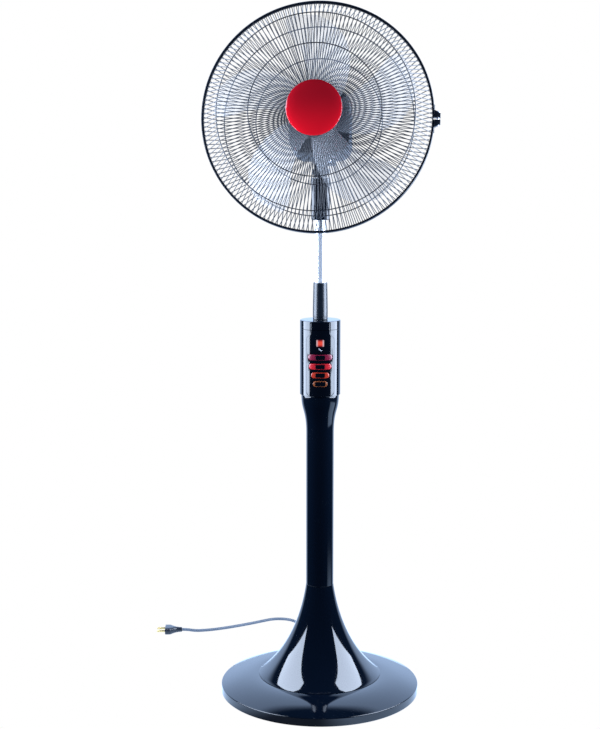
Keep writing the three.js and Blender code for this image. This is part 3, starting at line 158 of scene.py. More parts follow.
class Shader:
    """Builds one material's node tree."""

    def __init__(self, tree: bpy.types.NodeTree) -> None:
        """Starts from an empty tree."""
        self.tree = tree
        tree.nodes.clear()

    def node(
        self,
        kind: str,
        settings: dict[str, object] | None = None,
        sockets: dict[int | str, object] | None = None,
        output: int | str = 0,
    ) -> Tone:
        """Adds any node.

        Args:
            kind: The node's type.
            settings: Its properties; "stops" is a colour ramp's list of (place, colour).
            sockets: Values or tones for its inputs, by name or place.
            output: The output that is wanted, by name or place.

        Returns:
            That output.
        """
        made = self.tree.nodes.new(kind)
        for name, value in (settings or {}).items():
            if name == "stops":
                self._set_stops(made.color_ramp, value)
            else:
                setattr(made, name, value)
        for name, value in (sockets or {}).items():
            self.plug(made.inputs[name], value)
        return Tone(self, made.outputs[output])

    def _set_stops(self, band: bpy.types.ColorRamp, stops: list[tuple[float, Colour]]) -> None:
        """Gives a colour ramp its stops.

        Args:
            band: The ramp.
            stops: Its (place, colour) pairs.
        """
        while len(band.elements) < len(stops):
            band.elements.new(1.0)
        for element, (place, colour) in zip(band.elements, stops):
            element.position = place
            element.color = (*colour, 1.0)

    def plug(self, socket: bpy.types.NodeSocket, value: object) -> None:
        """Links a tone to an input, or sets the input to a number or colour.

        Args:
            socket: The input.
            value: A tone, a number or a colour.
        """
        if isinstance(value, Tone):
            self.tree.links.new(value.socket, socket)
        elif socket.type == "RGBA":
            socket.default_value = (*value, 1.0) if len(value) == 3 else value
        else:
            socket.default_value = value

    def place(self, stretch: Sequence[float] = (1.0, 1.0, 1.0)) -> Tone:
        """The point on the piece, in metres, stretched."""
        point = self.node("ShaderNodeTexCoord", output="Object")
        return self.node("ShaderNodeMapping", None, {"Vector": point, "Scale": stretch})

    def axes(self) -> tuple[Tone, Tone, Tone]:
        """The three coordinates of the point on the piece, in metres.

        Returns:
            The point's X, Y and Z.
        """
        point = self.node("ShaderNodeTexCoord", output="Object")
        split = self.tree.nodes.new("ShaderNodeSeparateXYZ")
        self.plug(split.inputs[0], point)
        return tuple(Tone(self, split.outputs[i]) for i in range(3))

    def noise(
        self,
        scale: float,
        detail: float = 3.0,
        stretch: Sequence[float] = (1.0, 1.0, 1.0),
        rough: float = 0.5,
    ) -> Tone:
        """Cloudy variation.

        Args:
            scale: Clouds per metre.
            detail: How many finer layers it has.
            stretch: How much denser it is along each axis.
            rough: Share of each finer layer.

        Returns:
            A value about 0.5.
        """
        sockets = {"Vector": self.place(stretch), "Scale": scale, "Detail": detail, "Roughness": rough}
        return self.node("ShaderNodeTexNoise", None, sockets, "Fac")

    def cells(self, scale: float) -> Tone:
        """Distance from the nearest of many scattered points, for pits and specks."""
        sockets = {"Vector": self.place(), "Scale": scale}
        return self.node("ShaderNodeTexVoronoi", {"feature": "F1"}, sockets, "Distance")

    def mix(self, share: Tone | float, first: object, second: object) -> Tone:
        """A blend of two colours."""
        settings = {"data_type": "RGBA"}
        return self.node("ShaderNodeMix", settings, {0: share, 6: first, 7: second}, 2)

    def bump(self, height: Tone, depth: float) -> Tone:
        """Relief from a height map; depth is in metres."""
        return self.node("ShaderNodeBump", None, {"Height": height, "Distance": depth, "Strength": 1.0})

    def edge_wear(self, low: float = 0.52, high: float = 0.6) -> Tone:
        """1 along worn outer edges and 0 on open faces."""
        return self.node("ShaderNodeNewGeometry", output="Pointiness").ramp(low, high)

    def surface(self, sockets: dict[str, object]) -> None:
        """Ends the tree in a Principled surface with these inputs."""
        shading = self.node("ShaderNodeBsdfPrincipled", None, sockets)
        self.node_output(shading)

    def node_output(self, shading: Tone) -> None:
        """Links a surface to the material's output."""
        end = self.tree.nodes.new("ShaderNodeOutputMaterial")
        self.tree.links.new(shading.socket, end.inputs["Surface"])


# ---- Finishes ---------------------------------------------------------------------------------------


@dataclass(frozen=True)
class Finish:
    """What every finish has."""

    name: str
    slot: str
    colour: Colour
    roughness: float

    def material(self) -> bpy.types.Material:
        """The finish's material, made on first use.

        Returns:
            The material.
        """
        found = bpy.data.materials.get(self.name)
        if found is None:
            found = bpy.data.materials.new(self.name)
            found.use_nodes = True
            self.paint(Shader(found.node_tree))
        return found

    def paint(self, shader: Shader) -> None:
        """Builds the node tree."""
        raise NotImplementedError

    def shades(self, darker: float, lighter: float) -> tuple[Colour, Colour]:
        """The colour scaled down and up."""
        return tuple(darker * c for c in self.colour), tuple(lighter * c for c in self.colour)


@dataclass(frozen=True)
class GlossPlastic(Finish):
    """Moulded plastic from a polished tool, with a faint orange peel, rubbed film and fine dust."""

    peel: float = 0.000012
    dust: Colour = (0.20, 0.24, 0.30)
    coat: float = 0.0

    def paint(self, shader: Shader) -> None:
        """Builds the node tree.

        Args:
            shader: What the nodes are added to.
        """
        cloud = shader.noise(9.0, 4.0)
        dark, light = self.shades(0.85, 1.15)
        body = shader.mix(cloud, dark, light)
        specks = (0.12 - shader.cells(1300.0)).ramp(0.0, 0.08) * shader.noise(30.0, 2.0).ramp(0.5, 0.75)
        smear = shader.noise(40.0, 5.0, (1.0, 1.0, 0.3), 0.65)
        rough = self.roughness + (smear - 0.5) * 0.06 + specks * 0.3
        peel = shader.noise(240.0, 1.0) + specks * 0.5
        shader.surface(
            {
                "Base Color": shader.mix(specks * 0.35, body, self.dust),
                "Roughness": rough,
                "IOR": 1.5,
                "Coat Weight": self.coat,
                "Normal": shader.bump(peel, self.peel),
            }
        )


@dataclass(frozen=True)
class SatinPlastic(Finish):
    """Moulded plastic from an eroded tool: a fine even grain, with polished edges."""

    grain: float = 1700.0
    depth: float = 0.00003

    def paint(self, shader: Shader) -> None:
        """Builds the node tree.

        Args:
            shader: What the nodes are added to.
        """
        grain = shader.noise(self.grain, 2.0)
        wear = shader.edge_wear()
        dark, light = self.shades(0.8, 1.3)
        tone = shader.mix(shader.noise(14.0, 4.0), dark, light)
        shader.surface(
            {
                "Base Color": shader.mix(wear * 0.35, tone, self.shades(1.0, 2.4)[1]),
                "Roughness": self.roughness + (shader.noise(60.0, 3.0) - 0.5) * 0.16 - wear * 0.12,
                "Normal": shader.bump(grain, self.depth),
            }
        )


@dataclass(frozen=True)
class WireLacquer(Finish):
    """Dipped lacquer on drawn wire, thicker in runs, with tiny pinholes."""

    def paint(self, shader: Shader) -> None:
        """Builds the node tree.

        Args:
            shader: What the nodes are added to.
        """
        runs = shader.noise(150.0, 3.0)
        pits = (0.1 - shader.cells(2600.0)).ramp(0.0, 0.06)
        dark, light = self.shades(0.7, 1.5)
        shader.surface(
            {
                "Base Color": shader.mix(runs, dark, light),
                "Roughness": self.roughness + (runs - 0.5) * 0.25 + pits * 0.2,
                "Coat Weight": 0.1,
                "Normal": shader.bump(runs - pits, 0.00004),
            }
        )


@dataclass(frozen=True)
class Metal(Finish):
    """Bare or plated metal with drawn lines along one axis and a light tarnish."""

    lines: tuple[float, float, float] = (1.0, 1.0, 0.04)
    scratch: float = 0.000006
    tarnish: Colour = (0.25, 0.22, 0.2)
    tarnish_share: float = 0.1
    metallic: float = 1.0

    def paint(self, shader: Shader) -> None:
        """Builds the node tree.

        Args:
            shader: What the nodes are added to.
        """
        lines = shader.noise(1500.0, 3.0, self.lines, 0.7)
        stain = shader.noise(35.0, 5.0, rough=0.6).ramp(0.5, 0.85)
        dark, light = self.shades(0.92, 1.04)
        bare = shader.mix(lines, dark, light)
        shader.surface(
            {
                "Base Color": shader.mix(stain * self.tarnish_share, bare, self.tarnish),
                "Metallic": self.metallic - stain * 0.1,
                "Roughness": self.roughness + (lines - 0.5) * 0.1 + stain * 0.1,
                "Normal": shader.bump(lines, self.scratch),
            }
        )


@dataclass(frozen=True)
class CastMetal(Finish):
    """Die-cast or sand-cast metal: a matt skin with pits, brighter on its edges."""

    pit: float = 520.0
    depth: float = 0.0001
    shine: float = 0.9

    def paint(self, shader: Shader) -> None:
        """Builds the node tree.

        Args:
            shader: What the nodes are added to.
        """
        pits = shader.cells(self.pit).ramp(0.05, 0.5)
        skin = shader.noise(300.0, 5.0)
        wear = shader.edge_wear()
        dark, light = self.shades(0.75, 1.1)
        shader.surface(
            {
                "Base Color": shader.mix(wear * 0.5, shader.mix(skin, dark, light), self.shades(1.0, 1.6)[1]),
                "Metallic": self.shine - (1.0 - wear) * 0.08,
                "Roughness": self.roughness + (skin - 0.5) * 0.2 - wear * 0.15,
                "Normal": shader.bump(pits * 0.6 + skin * 0.4, self.depth),
            }
        )


@dataclass(frozen=True)
class SoftRubber(Finish):
    """Rubber or soft vinyl: a matt skin with a fine tooth and a chalky bloom."""

    bloom: Colour = (0.16, 0.16, 0.17)
    tooth: float = 900.0

    def paint(self, shader: Shader) -> None:
        """Builds the node tree.

        Args:
            shader: What the nodes are added to.
        """
        bloom = shader.noise(50.0, 5.0).ramp(0.45, 0.8)
        tooth = shader.noise(self.tooth, 3.0)
        dark, light = self.shades(0.85, 1.15)
        tone = shader.mix(tooth, dark, light)
        shader.surface(
            {
                "Base Color": shader.mix(bloom * 0.25, tone, self.bloom),
                "Roughness": self.roughness + (tooth - 0.5) * 0.15,
                "Sheen Weight": 0.1,
                "Normal": shader.bump(tooth, 0.00005),
            }
        )


@dataclass(frozen=True)
class CapPlastic(Finish):
    """Deep red plastic under a clear coat, with painted shade that makes it a little darker towards its top
    edge.
    """

    # Painted shade: the colour that the red darkens to at the cap's top edge; low and high are the heights,
    # in metres, where it starts and where it is full.
    top: Colour = (0.45, 0.004, 0.012)
    low: float = 1.115
    high: float = 1.195

    def paint(self, shader: Shader) -> None:
        """Builds the node tree.

        Args:
            shader: What the nodes are added to.
        """
        # Painted shade: the red darkens with height towards the top colour.
        height = shader.axes()[2].ramp(self.low, self.high)
        cloud = shader.noise(12.0, 3.0)
        dark, light = self.shades(0.95, 1.05)
        body = shader.mix(height, shader.mix(cloud, dark, light), self.top)
        smear = shader.noise(60.0, 5.0, rough=0.65)
        shader.surface(
            {
                "Base Color": body,
                "Roughness": self.roughness + (smear - 0.5) * 0.08,
                "Coat Weight": 0.6,
                "Coat Roughness": 0.06,
                "Normal": shader.bump(shader.noise(200.0, 1.0), 0.00001),
            }
        )


@dataclass(frozen=True)
class ClearBlade(Finish):
    """Smoky clear plastic with flow lines from moulding, and cloudy changes in its body."""

    body: float = 0.16

    def paint(self, shader: Shader) -> None:
        """Builds the node tree.

        Args:
            shader: What the nodes are added to.
        """
        flow = shader.noise(25.0, 4.0, (1.0, 0.25, 1.0), 0.6)
        haze = shader.noise(8.0, 2.0)
        dark, light = self.shades(0.9, 1.08)
        shader.surface(
            {
                "Base Color": shader.mix(flow, dark, light),
                "Roughness": self.roughness + (flow - 0.5) * 0.1,
                "IOR": 1.46,
                "Alpha": self.body + (haze - 0.5) * 0.1 + (flow - 0.5) * 0.08,
                "Normal": shader.bump(flow, 0.00005),
            }
        )


@dataclass(frozen=True)
class LitWindow(Finish):
    """A lit display window: its own red glow in its middle, and a painted highlight that makes its sides pale
    and bright.
    """

    middle: float = 0.718
    glow: float = 1.0

    def paint(self, shader: Shader) -> None:
        """Builds the node tree.

        Args:
            shader: What the nodes are added to.
        """
        across, _, up = shader.axes()
        # Painted highlight: towards the left and right sides the glow turns pale.
        side = (across.size() / 0.0066).ramp(0.45, 1.0)
        tall = ((up - self.middle).size() / 0.0062).ramp(0.35, 1.0)
        grain = shader.noise(900.0, 2.0)
        red = shader.mix(tall, self.colour, (0.16, 0.004, 0.008))
        # The pale colour mixed in here is the painted highlight; the red is the window's own glow.
        lit = shader.mix(side * (1.0 - tall * 0.2), red, (0.55, 0.42, 0.46))
        shader.surface(
            {
                "Base Color": (0.05, 0.003, 0.005),
                "Roughness": self.roughness + (grain - 0.5) * 0.05,
                "Coat Weight": 0.5,
                "Coat Roughness": 0.04,
                "Emission Color": lit,
                "Emission Strength": self.glow,
                "Normal": shader.bump(grain, 0.000004),
            }
        )


@dataclass(frozen=True)
class LitKey(Finish):
    """A translucent key lit from behind, brightest at its ends."""

    glow: float = 0.35
    reach: float = 0.022

    def paint(self, shader: Shader) -> None:
        """Builds the node tree.

        Args:
            shader: What the nodes are added to.
        """
        across = shader.axes()[0].size()
        end = (across / self.reach).ramp(0.2, 0.9)
        mottle = shader.noise(300.0, 3.0)
        dark, light = self.shades(0.2, 1.1)
        shader.surface(
            {
                "Base Color": shader.mix(mottle, *self.shades(0.4, 0.55)),
                "Roughness": self.roughness + (mottle - 0.5) * 0.12,
                "Coat Weight": 0.3,
                "Emission Color": shader.mix(end, dark, light),
                "Emission Strength": self.glow,
                "Normal": shader.bump(mottle, 0.00002),
            }
        )


@dataclass(frozen=True)
class Windings(Finish):
    """Stacked core plates with varnished copper between them."""

    copper: Colour = (0.42, 0.16, 0.06)

    def paint(self, shader: Shader) -> None:
        """Builds the node tree.

        Args:
            shader: What the nodes are added to.
        """
        plates = shader.noise(600.0, 1.0, (0.05, 1.0, 0.05))
        strands = shader.noise(900.0, 3.0, (1.0, 0.1, 1.0))
        share = shader.noise(40.0, 1.0).ramp(0.45, 0.55)
        shader.surface(
            {
                "Base Color": shader.mix(share, shader.mix(plates, *self.shades(0.6, 1.3)), self.copper),
                "Metallic": 0.6 + share * 0.3,
                "Roughness": self.roughness + (strands - 0.5) * 0.2,
                "Normal": shader.bump(plates + strands * share, 0.0002),
            }
        )


@dataclass(frozen=True)
class PrintedBoard(Finish):
    """A lacquered circuit board: tracks under the mask and small solder points."""

    track: Colour = (0.05, 0.22, 0.09)

    def paint(self, shader: Shader) -> None:
        """Builds the node tree.

        Args:
            shader: What the nodes are added to.
        """
        tracks = shader.node(
            "ShaderNodeTexBrick", None, {"Vector": shader.place(), "Scale": 90.0, "Mortar Size": 0.03}, "Fac"
        )
        solder = (0.22 - shader.cells(240.0)).ramp(0.0, 0.06)
        lacquer = shader.mix(tracks, self.colour, self.track)
        shader.surface(
            {
                "Base Color": shader.mix(solder, lacquer, (0.6, 0.6, 0.62)),
                "Metallic": solder * 0.9,
                "Roughness": self.roughness + tracks * 0.1,
                "Normal": shader.bump(tracks + solder, 0.00008),
            }
        )


HOUSING = GlossPlastic("housing_gloss", "housing_black", (0.0008, 0.0020, 0.0050), 0.06)
PANEL = GlossPlastic("panel_gloss", "housing_black", (0.0008, 0.0014, 0.0032), 0.09)
TRIM = SatinPlastic("trim_satin", "trim_black", (0.004, 0.006, 0.011), 0.32)
SLEEVE = GlossPlastic("sleeve_gloss", "trim_black", (0.004, 0.007, 0.012), 0.3)
WIRE = WireLacquer("wire_lacquer", "guard_wire", (0.010, 0.012, 0.018), 0.42)
CAP = CapPlastic("cap_red_gloss", "cap_red", (0.95, 0.006, 0.018), 0.12)
WINDOW = LitWindow("window_glow", "display_red", (0.80, 0.07, 0.035), 0.08)
KEY_CRIMSON = LitKey("key_crimson", "button_crimson", (0.30, 0.012, 0.05), 0.25, 0.08, 0.023)
KEY_RED = LitKey("key_red", "button_red", (0.66, 0.018, 0.03), 0.25, 0.24, 0.021)
KEY_SCARLET = LitKey("key_scarlet", "button_orange", (0.60, 0.045, 0.02), 0.25, 0.17, 0.016)
KEY_ORANGE = LitKey("key_orange", "button_orange", (0.40, 0.11, 0.035), 0.25, 0.09, 0.014)
CHROME = Metal("chrome_plate", "chrome", (0.86, 0.88, 0.93), 0.2, tarnish_share=0.03, metallic=0.62)
MOTOR = SatinPlastic("motor_satin", "housing_black", (0.0016, 0.003, 0.006), 0.34)
ZINC = Metal("zinc_plate", "zinc", (0.62, 0.65, 0.70), 0.3, (1.0, 1.0, 0.2), 0.00001)
STEEL = Metal("mild_steel", "steel", (0.30, 0.31, 0.33), 0.42, (1.0, 1.0, 0.1), 0.00002, tarnish_share=0.3)
ALUMINIUM = CastMetal("cast_alloy", "cast_aluminium", (0.42, 0.43, 0.45), 0.5)
IRON = CastMetal("ballast_iron", "ballast", (0.05, 0.05, 0.055), 0.75, 260.0, 0.0004, 0.5)
CORE = Windings("motor_core", "winding_core", (0.22, 0.22, 0.24), 0.5)
RUBBER = SoftRubber("black_rubber", "rubber", (0.012, 0.012, 0.014), 0.75)
CORD = SoftRubber("cord_vinyl", "cord_grey", (0.07, 0.085, 0.11), 0.5, (0.14, 0.16, 0.19), 2600.0)
BLADE = ClearBlade("blade_clear", "blade", (0.75, 0.77, 0.80), 0.18)
BRASS = Metal("brass", "brass", (0.62, 0.44, 0.16), 0.28, (1.0, 0.1, 1.0), 0.00001)
BOARD = PrintedBoard("circuit_lacquer", "board", (0.01, 0.09, 0.035), 0.35)
WHITE = SatinPlastic("white_plastic", "white_plastic", (0.62, 0.63, 0.64), 0.5)
PRINT = SatinPlastic("pale_print", "housing_black", (0.55, 0.58, 0.62), 0.5, 2400.0, 0.00001)


# ---- Shapes -----------------------------------------------------------------------------------------


def bent_line(
    start: Sequence[float], end: Sequence[float], handles: Sequence[Sequence[float]], count: int
) -> Outline:
    """A smooth line between two points.

    Args:
        start: Its first point.
        end: Its last point.
        handles: The two points that it leans towards.
        count: Number of its steps.

    Returns:
        The points along it, with both ends.
    """
    line = []
    for i in range(count + 1):
        t = i / count
        shares = ((1 - t) ** 3, 3 * t * (1 - t) ** 2, 3 * t * t * (1 - t), t**3)
        corners = (start, *handles, end)
        line.append(tuple(sum(s * c[k] for s, c in zip(shares, corners)) for k in (0, 1)))
    return line


def softened(outline: Outline, radius: float, steps: int = 4, closed: bool = True) -> Outline:
    """Rounds the corners of an outline.

    Args:
        outline: Its points.
        radius: Of the rounding, less where a side is short.
        steps: Number of steps round each corner.
        closed: Whether its last point joins its first.

    Returns:
        The rounded outline.
    """
    if radius <= 0:
        return list(outline)
    count = len(outline)
    soft: Outline = []
    for i, point in enumerate(outline):
        if not closed and i in (0, count - 1):
            soft.append(tuple(point))
            continue
        here = Vector(point)
        before = Vector(outline[i - 1]) - here
        after = Vector(outline[(i + 1) % count]) - here
        angle = before.angle(after, math.pi)
        if angle > math.radians(165):
            soft.append(tuple(point))
            continue
        cut = min(radius / math.tan(angle / 2), 0.45 * before.length, 0.45 * after.length)
        first = here + before.normalized() * cut
        last = here + after.normalized() * cut
        for k in range(steps + 1):
            t = k / steps
            spot = first * (1 - t) ** 2 + here * 2 * t * (1 - t) + last * t * t
            soft.append(tuple(spot))
    return soft


def rounded_rectangle(
    width: float, height: float, corner: float, middle: tuple[float, float] = (0.0, 0.0), steps: int = 8
) -> Outline:
    """A rectangle with round corners.

    Args:
        width: Across.
        height: Up.
        corner: Radius of its corners.
        middle: Its centre.
        steps: Number of steps round each corner.

    Returns:
        Its points, counterclockwise.
    """
    corner = min(corner, width / 2 - 0.005, height / 2 - 0.005)
    outline = []
    for quarter, (side, rise) in enumerate(((1, 1), (-1, 1), (-1, -1), (1, -1))):
        x = middle[0] + side * (width / 2 - corner)
        y = middle[1] + rise * (height / 2 - corner)
        for i in range(steps + 1):
            angle = (quarter + i / steps) * math.pi / 2
            outline.append((x + corner * math.cos(angle), y + corner * math.sin(angle)))
    return outline


def spoke(radius: float, angle: float, height: float = 0.0) -> Vector:
    """The point at a radius and an angle round Z, at a height."""
    return Vector((radius * math.cos(angle), radius * math.sin(angle), height))


def circle(radius: float, sides: int = 48, middle: tuple[float, float] = (0.0, 0.0)) -> Outline:
    """The points of a circle."""
    angles = (TURN * i / sides for i in range(sides))
    return [(middle[0] + radius * math.cos(a), middle[1] + radius * math.sin(a)) for a in angles]


def shrunk(outline: Outline, by: float) -> Outline:
    """A counterclockwise outline with each side moved inwards.

    Args:
        outline: Its points.
        by: How far they move.

    Returns:
        The smaller outline.
    """
    count = len(outline)
    result = []
    for i, point in enumerate(outline):
        back = Vector(point) - Vector(outline[i - 1])
        ahead = Vector(outline[(i + 1) % count]) - Vector(point)
        inwards = Vector((-back.y, back.x)).normalized() + Vector((-ahead.y, ahead.x)).normalized()
        if inwards.length < 1e-6:
            result.append(tuple(point))
            continue
        lean = max(0.4, inwards.length / 2)
        result.append(tuple(Vector(point) + inwards.normalized() * by / lean))
    return result


class Form:
    """Points and faces gathered for one piece, in millimetres."""

    def __init__(self) -> None:
        """Starts empty."""
        self.points: list[Vector] = []
        self.faces: list[tuple[int, ...]] = []

    def skin(self, rings: Sequence[Sequence[Vector]], along: bool = False, caps: bool = True) -> "Form":
        """Stretches faces over rings of points.

        Args:
            rings: Rings with the same number of points each.
            along: Whether the last ring joins the first.
            caps: Whether the first and last rings are closed by a face.

        Returns:
            The form.
        """
        first, count = len(self.points), len(rings[0])
        for ring in rings:
            self.points.extend(Vector(p) for p in ring)
        last = len(rings) if along else len(rings) - 1
        for i in range(last):
            low, high = first + i * count, first + ((i + 1) % len(rings)) * count
            for j in range(count):
                k = (j + 1) % count
                self.faces.append((low + j, low + k, high + k, high + j))
        if caps and not along:
            self.faces.append(tuple(first + j for j in reversed(range(count))))
            top = first + (len(rings) - 1) * count
            self.faces.append(tuple(top + j for j in range(count)))
        return self

    def add(self, *others: "Form") -> "Form":
        """Takes in other forms.

        Args:
            others: The forms.

        Returns:
            The form.
        """
        for other in others:
            start = len(self.points)
            self.points.extend(other.points)
            self.faces.extend(tuple(start + i for i in face) for face in other.faces)
        return self

    def moved(self, matrix: Matrix) -> "Form":
        """A copy in another place.

        Args:
            matrix: From here to there.

        Returns:
            The copy.
        """
        copy = Form()
        copy.points = [matrix @ p for p in self.points]
        copy.faces = list(self.faces)
        return copy

    def bent(self, rule: Callable[[Vector], Vector]) -> "Form":
        """A copy with each point moved by a rule.

        Args:
            rule: Gives a point's new place.

        Returns:
            The copy.
        """
        copy = Form()
        copy.points = [rule(p) for p in self.points]
        copy.faces = list(self.faces)
        return copy

    def mesh(self, name: str, sharp: float = 32.0) -> bpy.types.Mesh:
        """The form's mesh.

        Args:
            name: Of the mesh.
            sharp: Angle in degrees over which an edge stays crisp.

        Returns:
            A mesh in metres, shaded smooth.
        """
        shape = bmesh.new()
        made = [shape.verts.new(p * MM) for p in self.points]
        for face in self.faces:
            corners = [made[i] for i in face]
            if len(set(corners)) > 2:
                shape.faces.new(corners)
        bmesh.ops.remove_doubles(shape, verts=shape.verts, dist=2e-6)
        finish_mesh(shape, sharp)
        mesh = bpy.data.meshes.new(name)
        shape.to_mesh(mesh)
        shape.free()
        return mesh


def finish_mesh(shape: bmesh.types.BMesh, sharp: float) -> None:
    """Turns all faces out and shades them smooth, with crisp edges over an angle in degrees.

    Args:
        shape: The mesh.
        sharp: Angle in degrees over which an edge stays crisp.
    """
    bmesh.ops.recalc_face_normals(shape, faces=shape.faces)
    limit = math.radians(sharp)
    for face in shape.faces:
        face.smooth = True
    for edge in shape.edges:
        edge.smooth = not edge.is_manifold or edge.calc_face_angle(0.0) < limit


def turned(outline: Outline, sides: int = 96, edge: float = 0.0) -> Form:
    """A solid of revolution about Z.

    Args:
        outline: A closed outline of (radius, height) points.
        sides: Number of sides.
        edge: Radius of its rounded edges.

    Returns:
        The form.
    """
    angles = [TURN * i / sides for i in range(sides)]
    rings = [[spoke(r, a, z) for a in angles] for r, z in softened(outline, edge, 3)]
    return Form().skin(rings, along=True)


def prism(outline: Outline, low: float, high: float, edge: float = 0.0, steps: int = 3) -> Form:
    """An outline in X and Y drawn out along Z, with rounded rims.

    Args:
        outline: Counterclockwise points.
        low: Its lower end.
        high: Its upper end.
        edge: Radius of its rims.
        steps: Number of steps round a rim.

    Returns:
        The form.
    """
    rims = [math.pi / 2 * i / steps for i in range(steps + 1)] if edge > 0 else [math.pi / 2]
    rings = [(edge * (1 - math.sin(a)), low + edge * (1 - math.cos(a))) for a in rims]
    rings += [(inset, high + low - z) for inset, z in reversed(rings)]
    return Form().skin([[Vector((x, y, z)) for x, y in shrunk(outline, inset)] for inset, z in rings])


def bar(start: Sequence[float], end: Sequence[float], radius: float, edge: float = 0.3) -> Form:
    """A round bar between two points, with softened rims.

    Args:
        start: One end's middle.
        end: The other end's middle.
        radius: Of the bar.
        edge: Radius of its rims.

    Returns:
        The form.
    """
    start, end = Vector(start), Vector(end)
    line = end - start
    turn = line.to_track_quat("Z", "Y").to_matrix().to_4x4()
    length = line.length
    rod = turned([(0, 0), (radius, 0), (radius, length), (0, length)], 32, edge)
    return rod.moved(Matrix.Translation(start) @ turn)


def swept(route: Sequence[Vector], sizes: Sequence[float], sides: int = 24) -> Form:
    """A round skin along a route whose radius changes.

    Args:
        route: Middles of its rings.
        sizes: Their radii.
        sides: Number of sides.

    Returns:
        The form.
    """
    rings = []
    for i, (spot, radius) in enumerate(zip(route, sizes)):
        ahead = route[min(i + 1, len(route) - 1)] - route[max(i - 1, 0)]
        turn = ahead.to_track_quat("Z", "X").to_matrix()
        rings.append([spot + turn @ spoke(radius, TURN * k / sides) for k in range(sides)])
    return Form().skin(rings)


def plate_with_holes(
    outline: Outline, holes: Sequence[Outline], thickness: float, edge: float, strips: float = 0.0
) -> Form:
    """A plate in X and Y about Z = 0.

    Args:
        outline: Its border.
        holes: The borders of its holes.
        thickness: Along Z.
        edge: Radius of its rims.
        strips: Width of the strips that it is divided into along X, so that it can be bent, or 0.

    Returns:
        The form.
    """
    curve = bpy.data.curves.new("plate", "CURVE")
    curve.dimensions = "2D"
    curve.fill_mode = "BOTH"
    for border in (outline, *holes):
        spline = curve.splines.new("POLY")
        spline.points.add(len(border) - 1)
        for point, (x, y) in zip(spline.points, border):
            point.co = (x, y, 0, 1)
        spline.use_cyclic_u = True
    curve.extrude = thickness / 2 - edge
    curve.bevel_depth = edge
    curve.bevel_resolution = 1
    curve.offset = -edge
    holder = bpy.data.objects.new("plate", curve)
    bpy.context.scene.collection.objects.link(holder)
    mesh = bpy.data.meshes.new_from_object(holder.evaluated_get(bpy.context.evaluated_depsgraph_get()))
    shape = bmesh.new()
    shape.from_mesh(mesh)
    bmesh.ops.remove_doubles(shape, verts=shape.verts, dist=0.002)
    if strips > 0:
        low, high = min(x for x, _ in outline), max(x for x, _ in outline)
        for i in range(1, math.ceil((high - low) / strips)):
            everything = [*shape.verts, *shape.edges, *shape.faces]
            bmesh.ops.bisect_plane(
                shape, geom=everything, plane_co=(low + i * strips, 0, 0), plane_no=(1, 0, 0), dist=0.004
            )
    shape.verts.index_update()
    form = Form()
    form.points = [v.co.copy() for v in shape.verts]
    form.faces = [tuple(v.index for v in face.verts) for face in shape.faces]
    shape.free()
    bpy.data.objects.remove(holder)
    bpy.data.curves.remove(curve)
    bpy.data.meshes.remove(mesh)
    return form


def wrapped(
    outline: Outline,
    holes: Sequence[Outline],
    radius: float,
    thickness: float,
    edge: float = 0.3,
    crown: float = 0.0,
) -> Form:
    """A plate bent round the column's axis, facing the front.

    Args:
        outline: Its border across and up, as seen from the front.
        holes: The borders of its holes.
        radius: Of its front face.
        thickness: Inwards from there.
        edge: Radius of its rims.
        crown: How much its upper and lower rims fall back from its middle.

    Returns:
        The form.
    """
    flat = plate_with_holes(outline, holes, thickness, edge, 1.5)
    rows = [y for _, y in outline]
    middle, half = (max(rows) + min(rows)) / 2, (max(rows) - min(rows)) / 2

    def rule(point: Vector) -> Vector:
        """Bends one point.

        Args:
            point: On the flat plate.

        Returns:
            Its place on the bent one.
        """
        share = (point.y - middle) / half
        depth = radius - thickness / 2 + point.z - crown * share * share
        return Vector((point.x, -math.sqrt(max(1.0, depth * depth - point.x**2)), point.y))

    return flat.bent(rule)


def carved(form: Form, *tools: Form) -> Form:
    """A form with others cut out of it.

    Args:
        form: What is cut.
        tools: What is taken out of it.

    Returns:
        What is left.
    """
    holders = []
    for part in (form, *tools):
        holder = bpy.data.objects.new("part", part.mesh("part", 180.0))
        bpy.context.scene.collection.objects.link(holder)
        holders.append(holder)
    for tool in holders[1:]:
        cut = holders[0].modifiers.new("cut", "BOOLEAN")
        cut.operation = "DIFFERENCE"
        cut.solver = "EXACT"
        cut.object = tool
    graph = bpy.context.evaluated_depsgraph_get()
    mesh = bpy.data.meshes.new_from_object(holders[0].evaluated_get(graph))
    result = Form()
    result.points = [v.co / MM for v in mesh.vertices]
    result.faces = [tuple(p.vertices) for p in mesh.polygons]
    for holder in holders:
        bpy.data.objects.remove(holder)
    bpy.data.meshes.remove(mesh)
    return result


def block(left: Sequence[float], right: Sequence[float], edge: float = 0.0) -> Form:
    """A box between two corners, with rounded upright edges and rims.

    Args:
        left: Its lowest corner.
        right: Its highest corner.
        edge: Radius of its edges.

    Returns:
        The form.
    """
    width, depth = right[0] - left[0], right[1] - left[1]
    middle = ((left[0] + right[0]) / 2, (left[1] + right[1]) / 2)
    outline = rounded_rectangle(width, depth, max(edge, 0.01), middle, 3)
    return prism(outline, left[2], right[2], edge)


# ---- Workshop ---------------------------------------------------------------------------------------


class Body(Enum):
    """The bodies that pieces ride on."""

    STAND = "stand"
    HEIGHT_LOCK = "height_lock"
    POLE = "pole"
    NECK_CLAMP = "neck_clamp"
    KNUCKLE = "knuckle"
    HEAD = "head"
    CRANK = "crank"
    LINK = "link"
    ROTOR = "rotor"


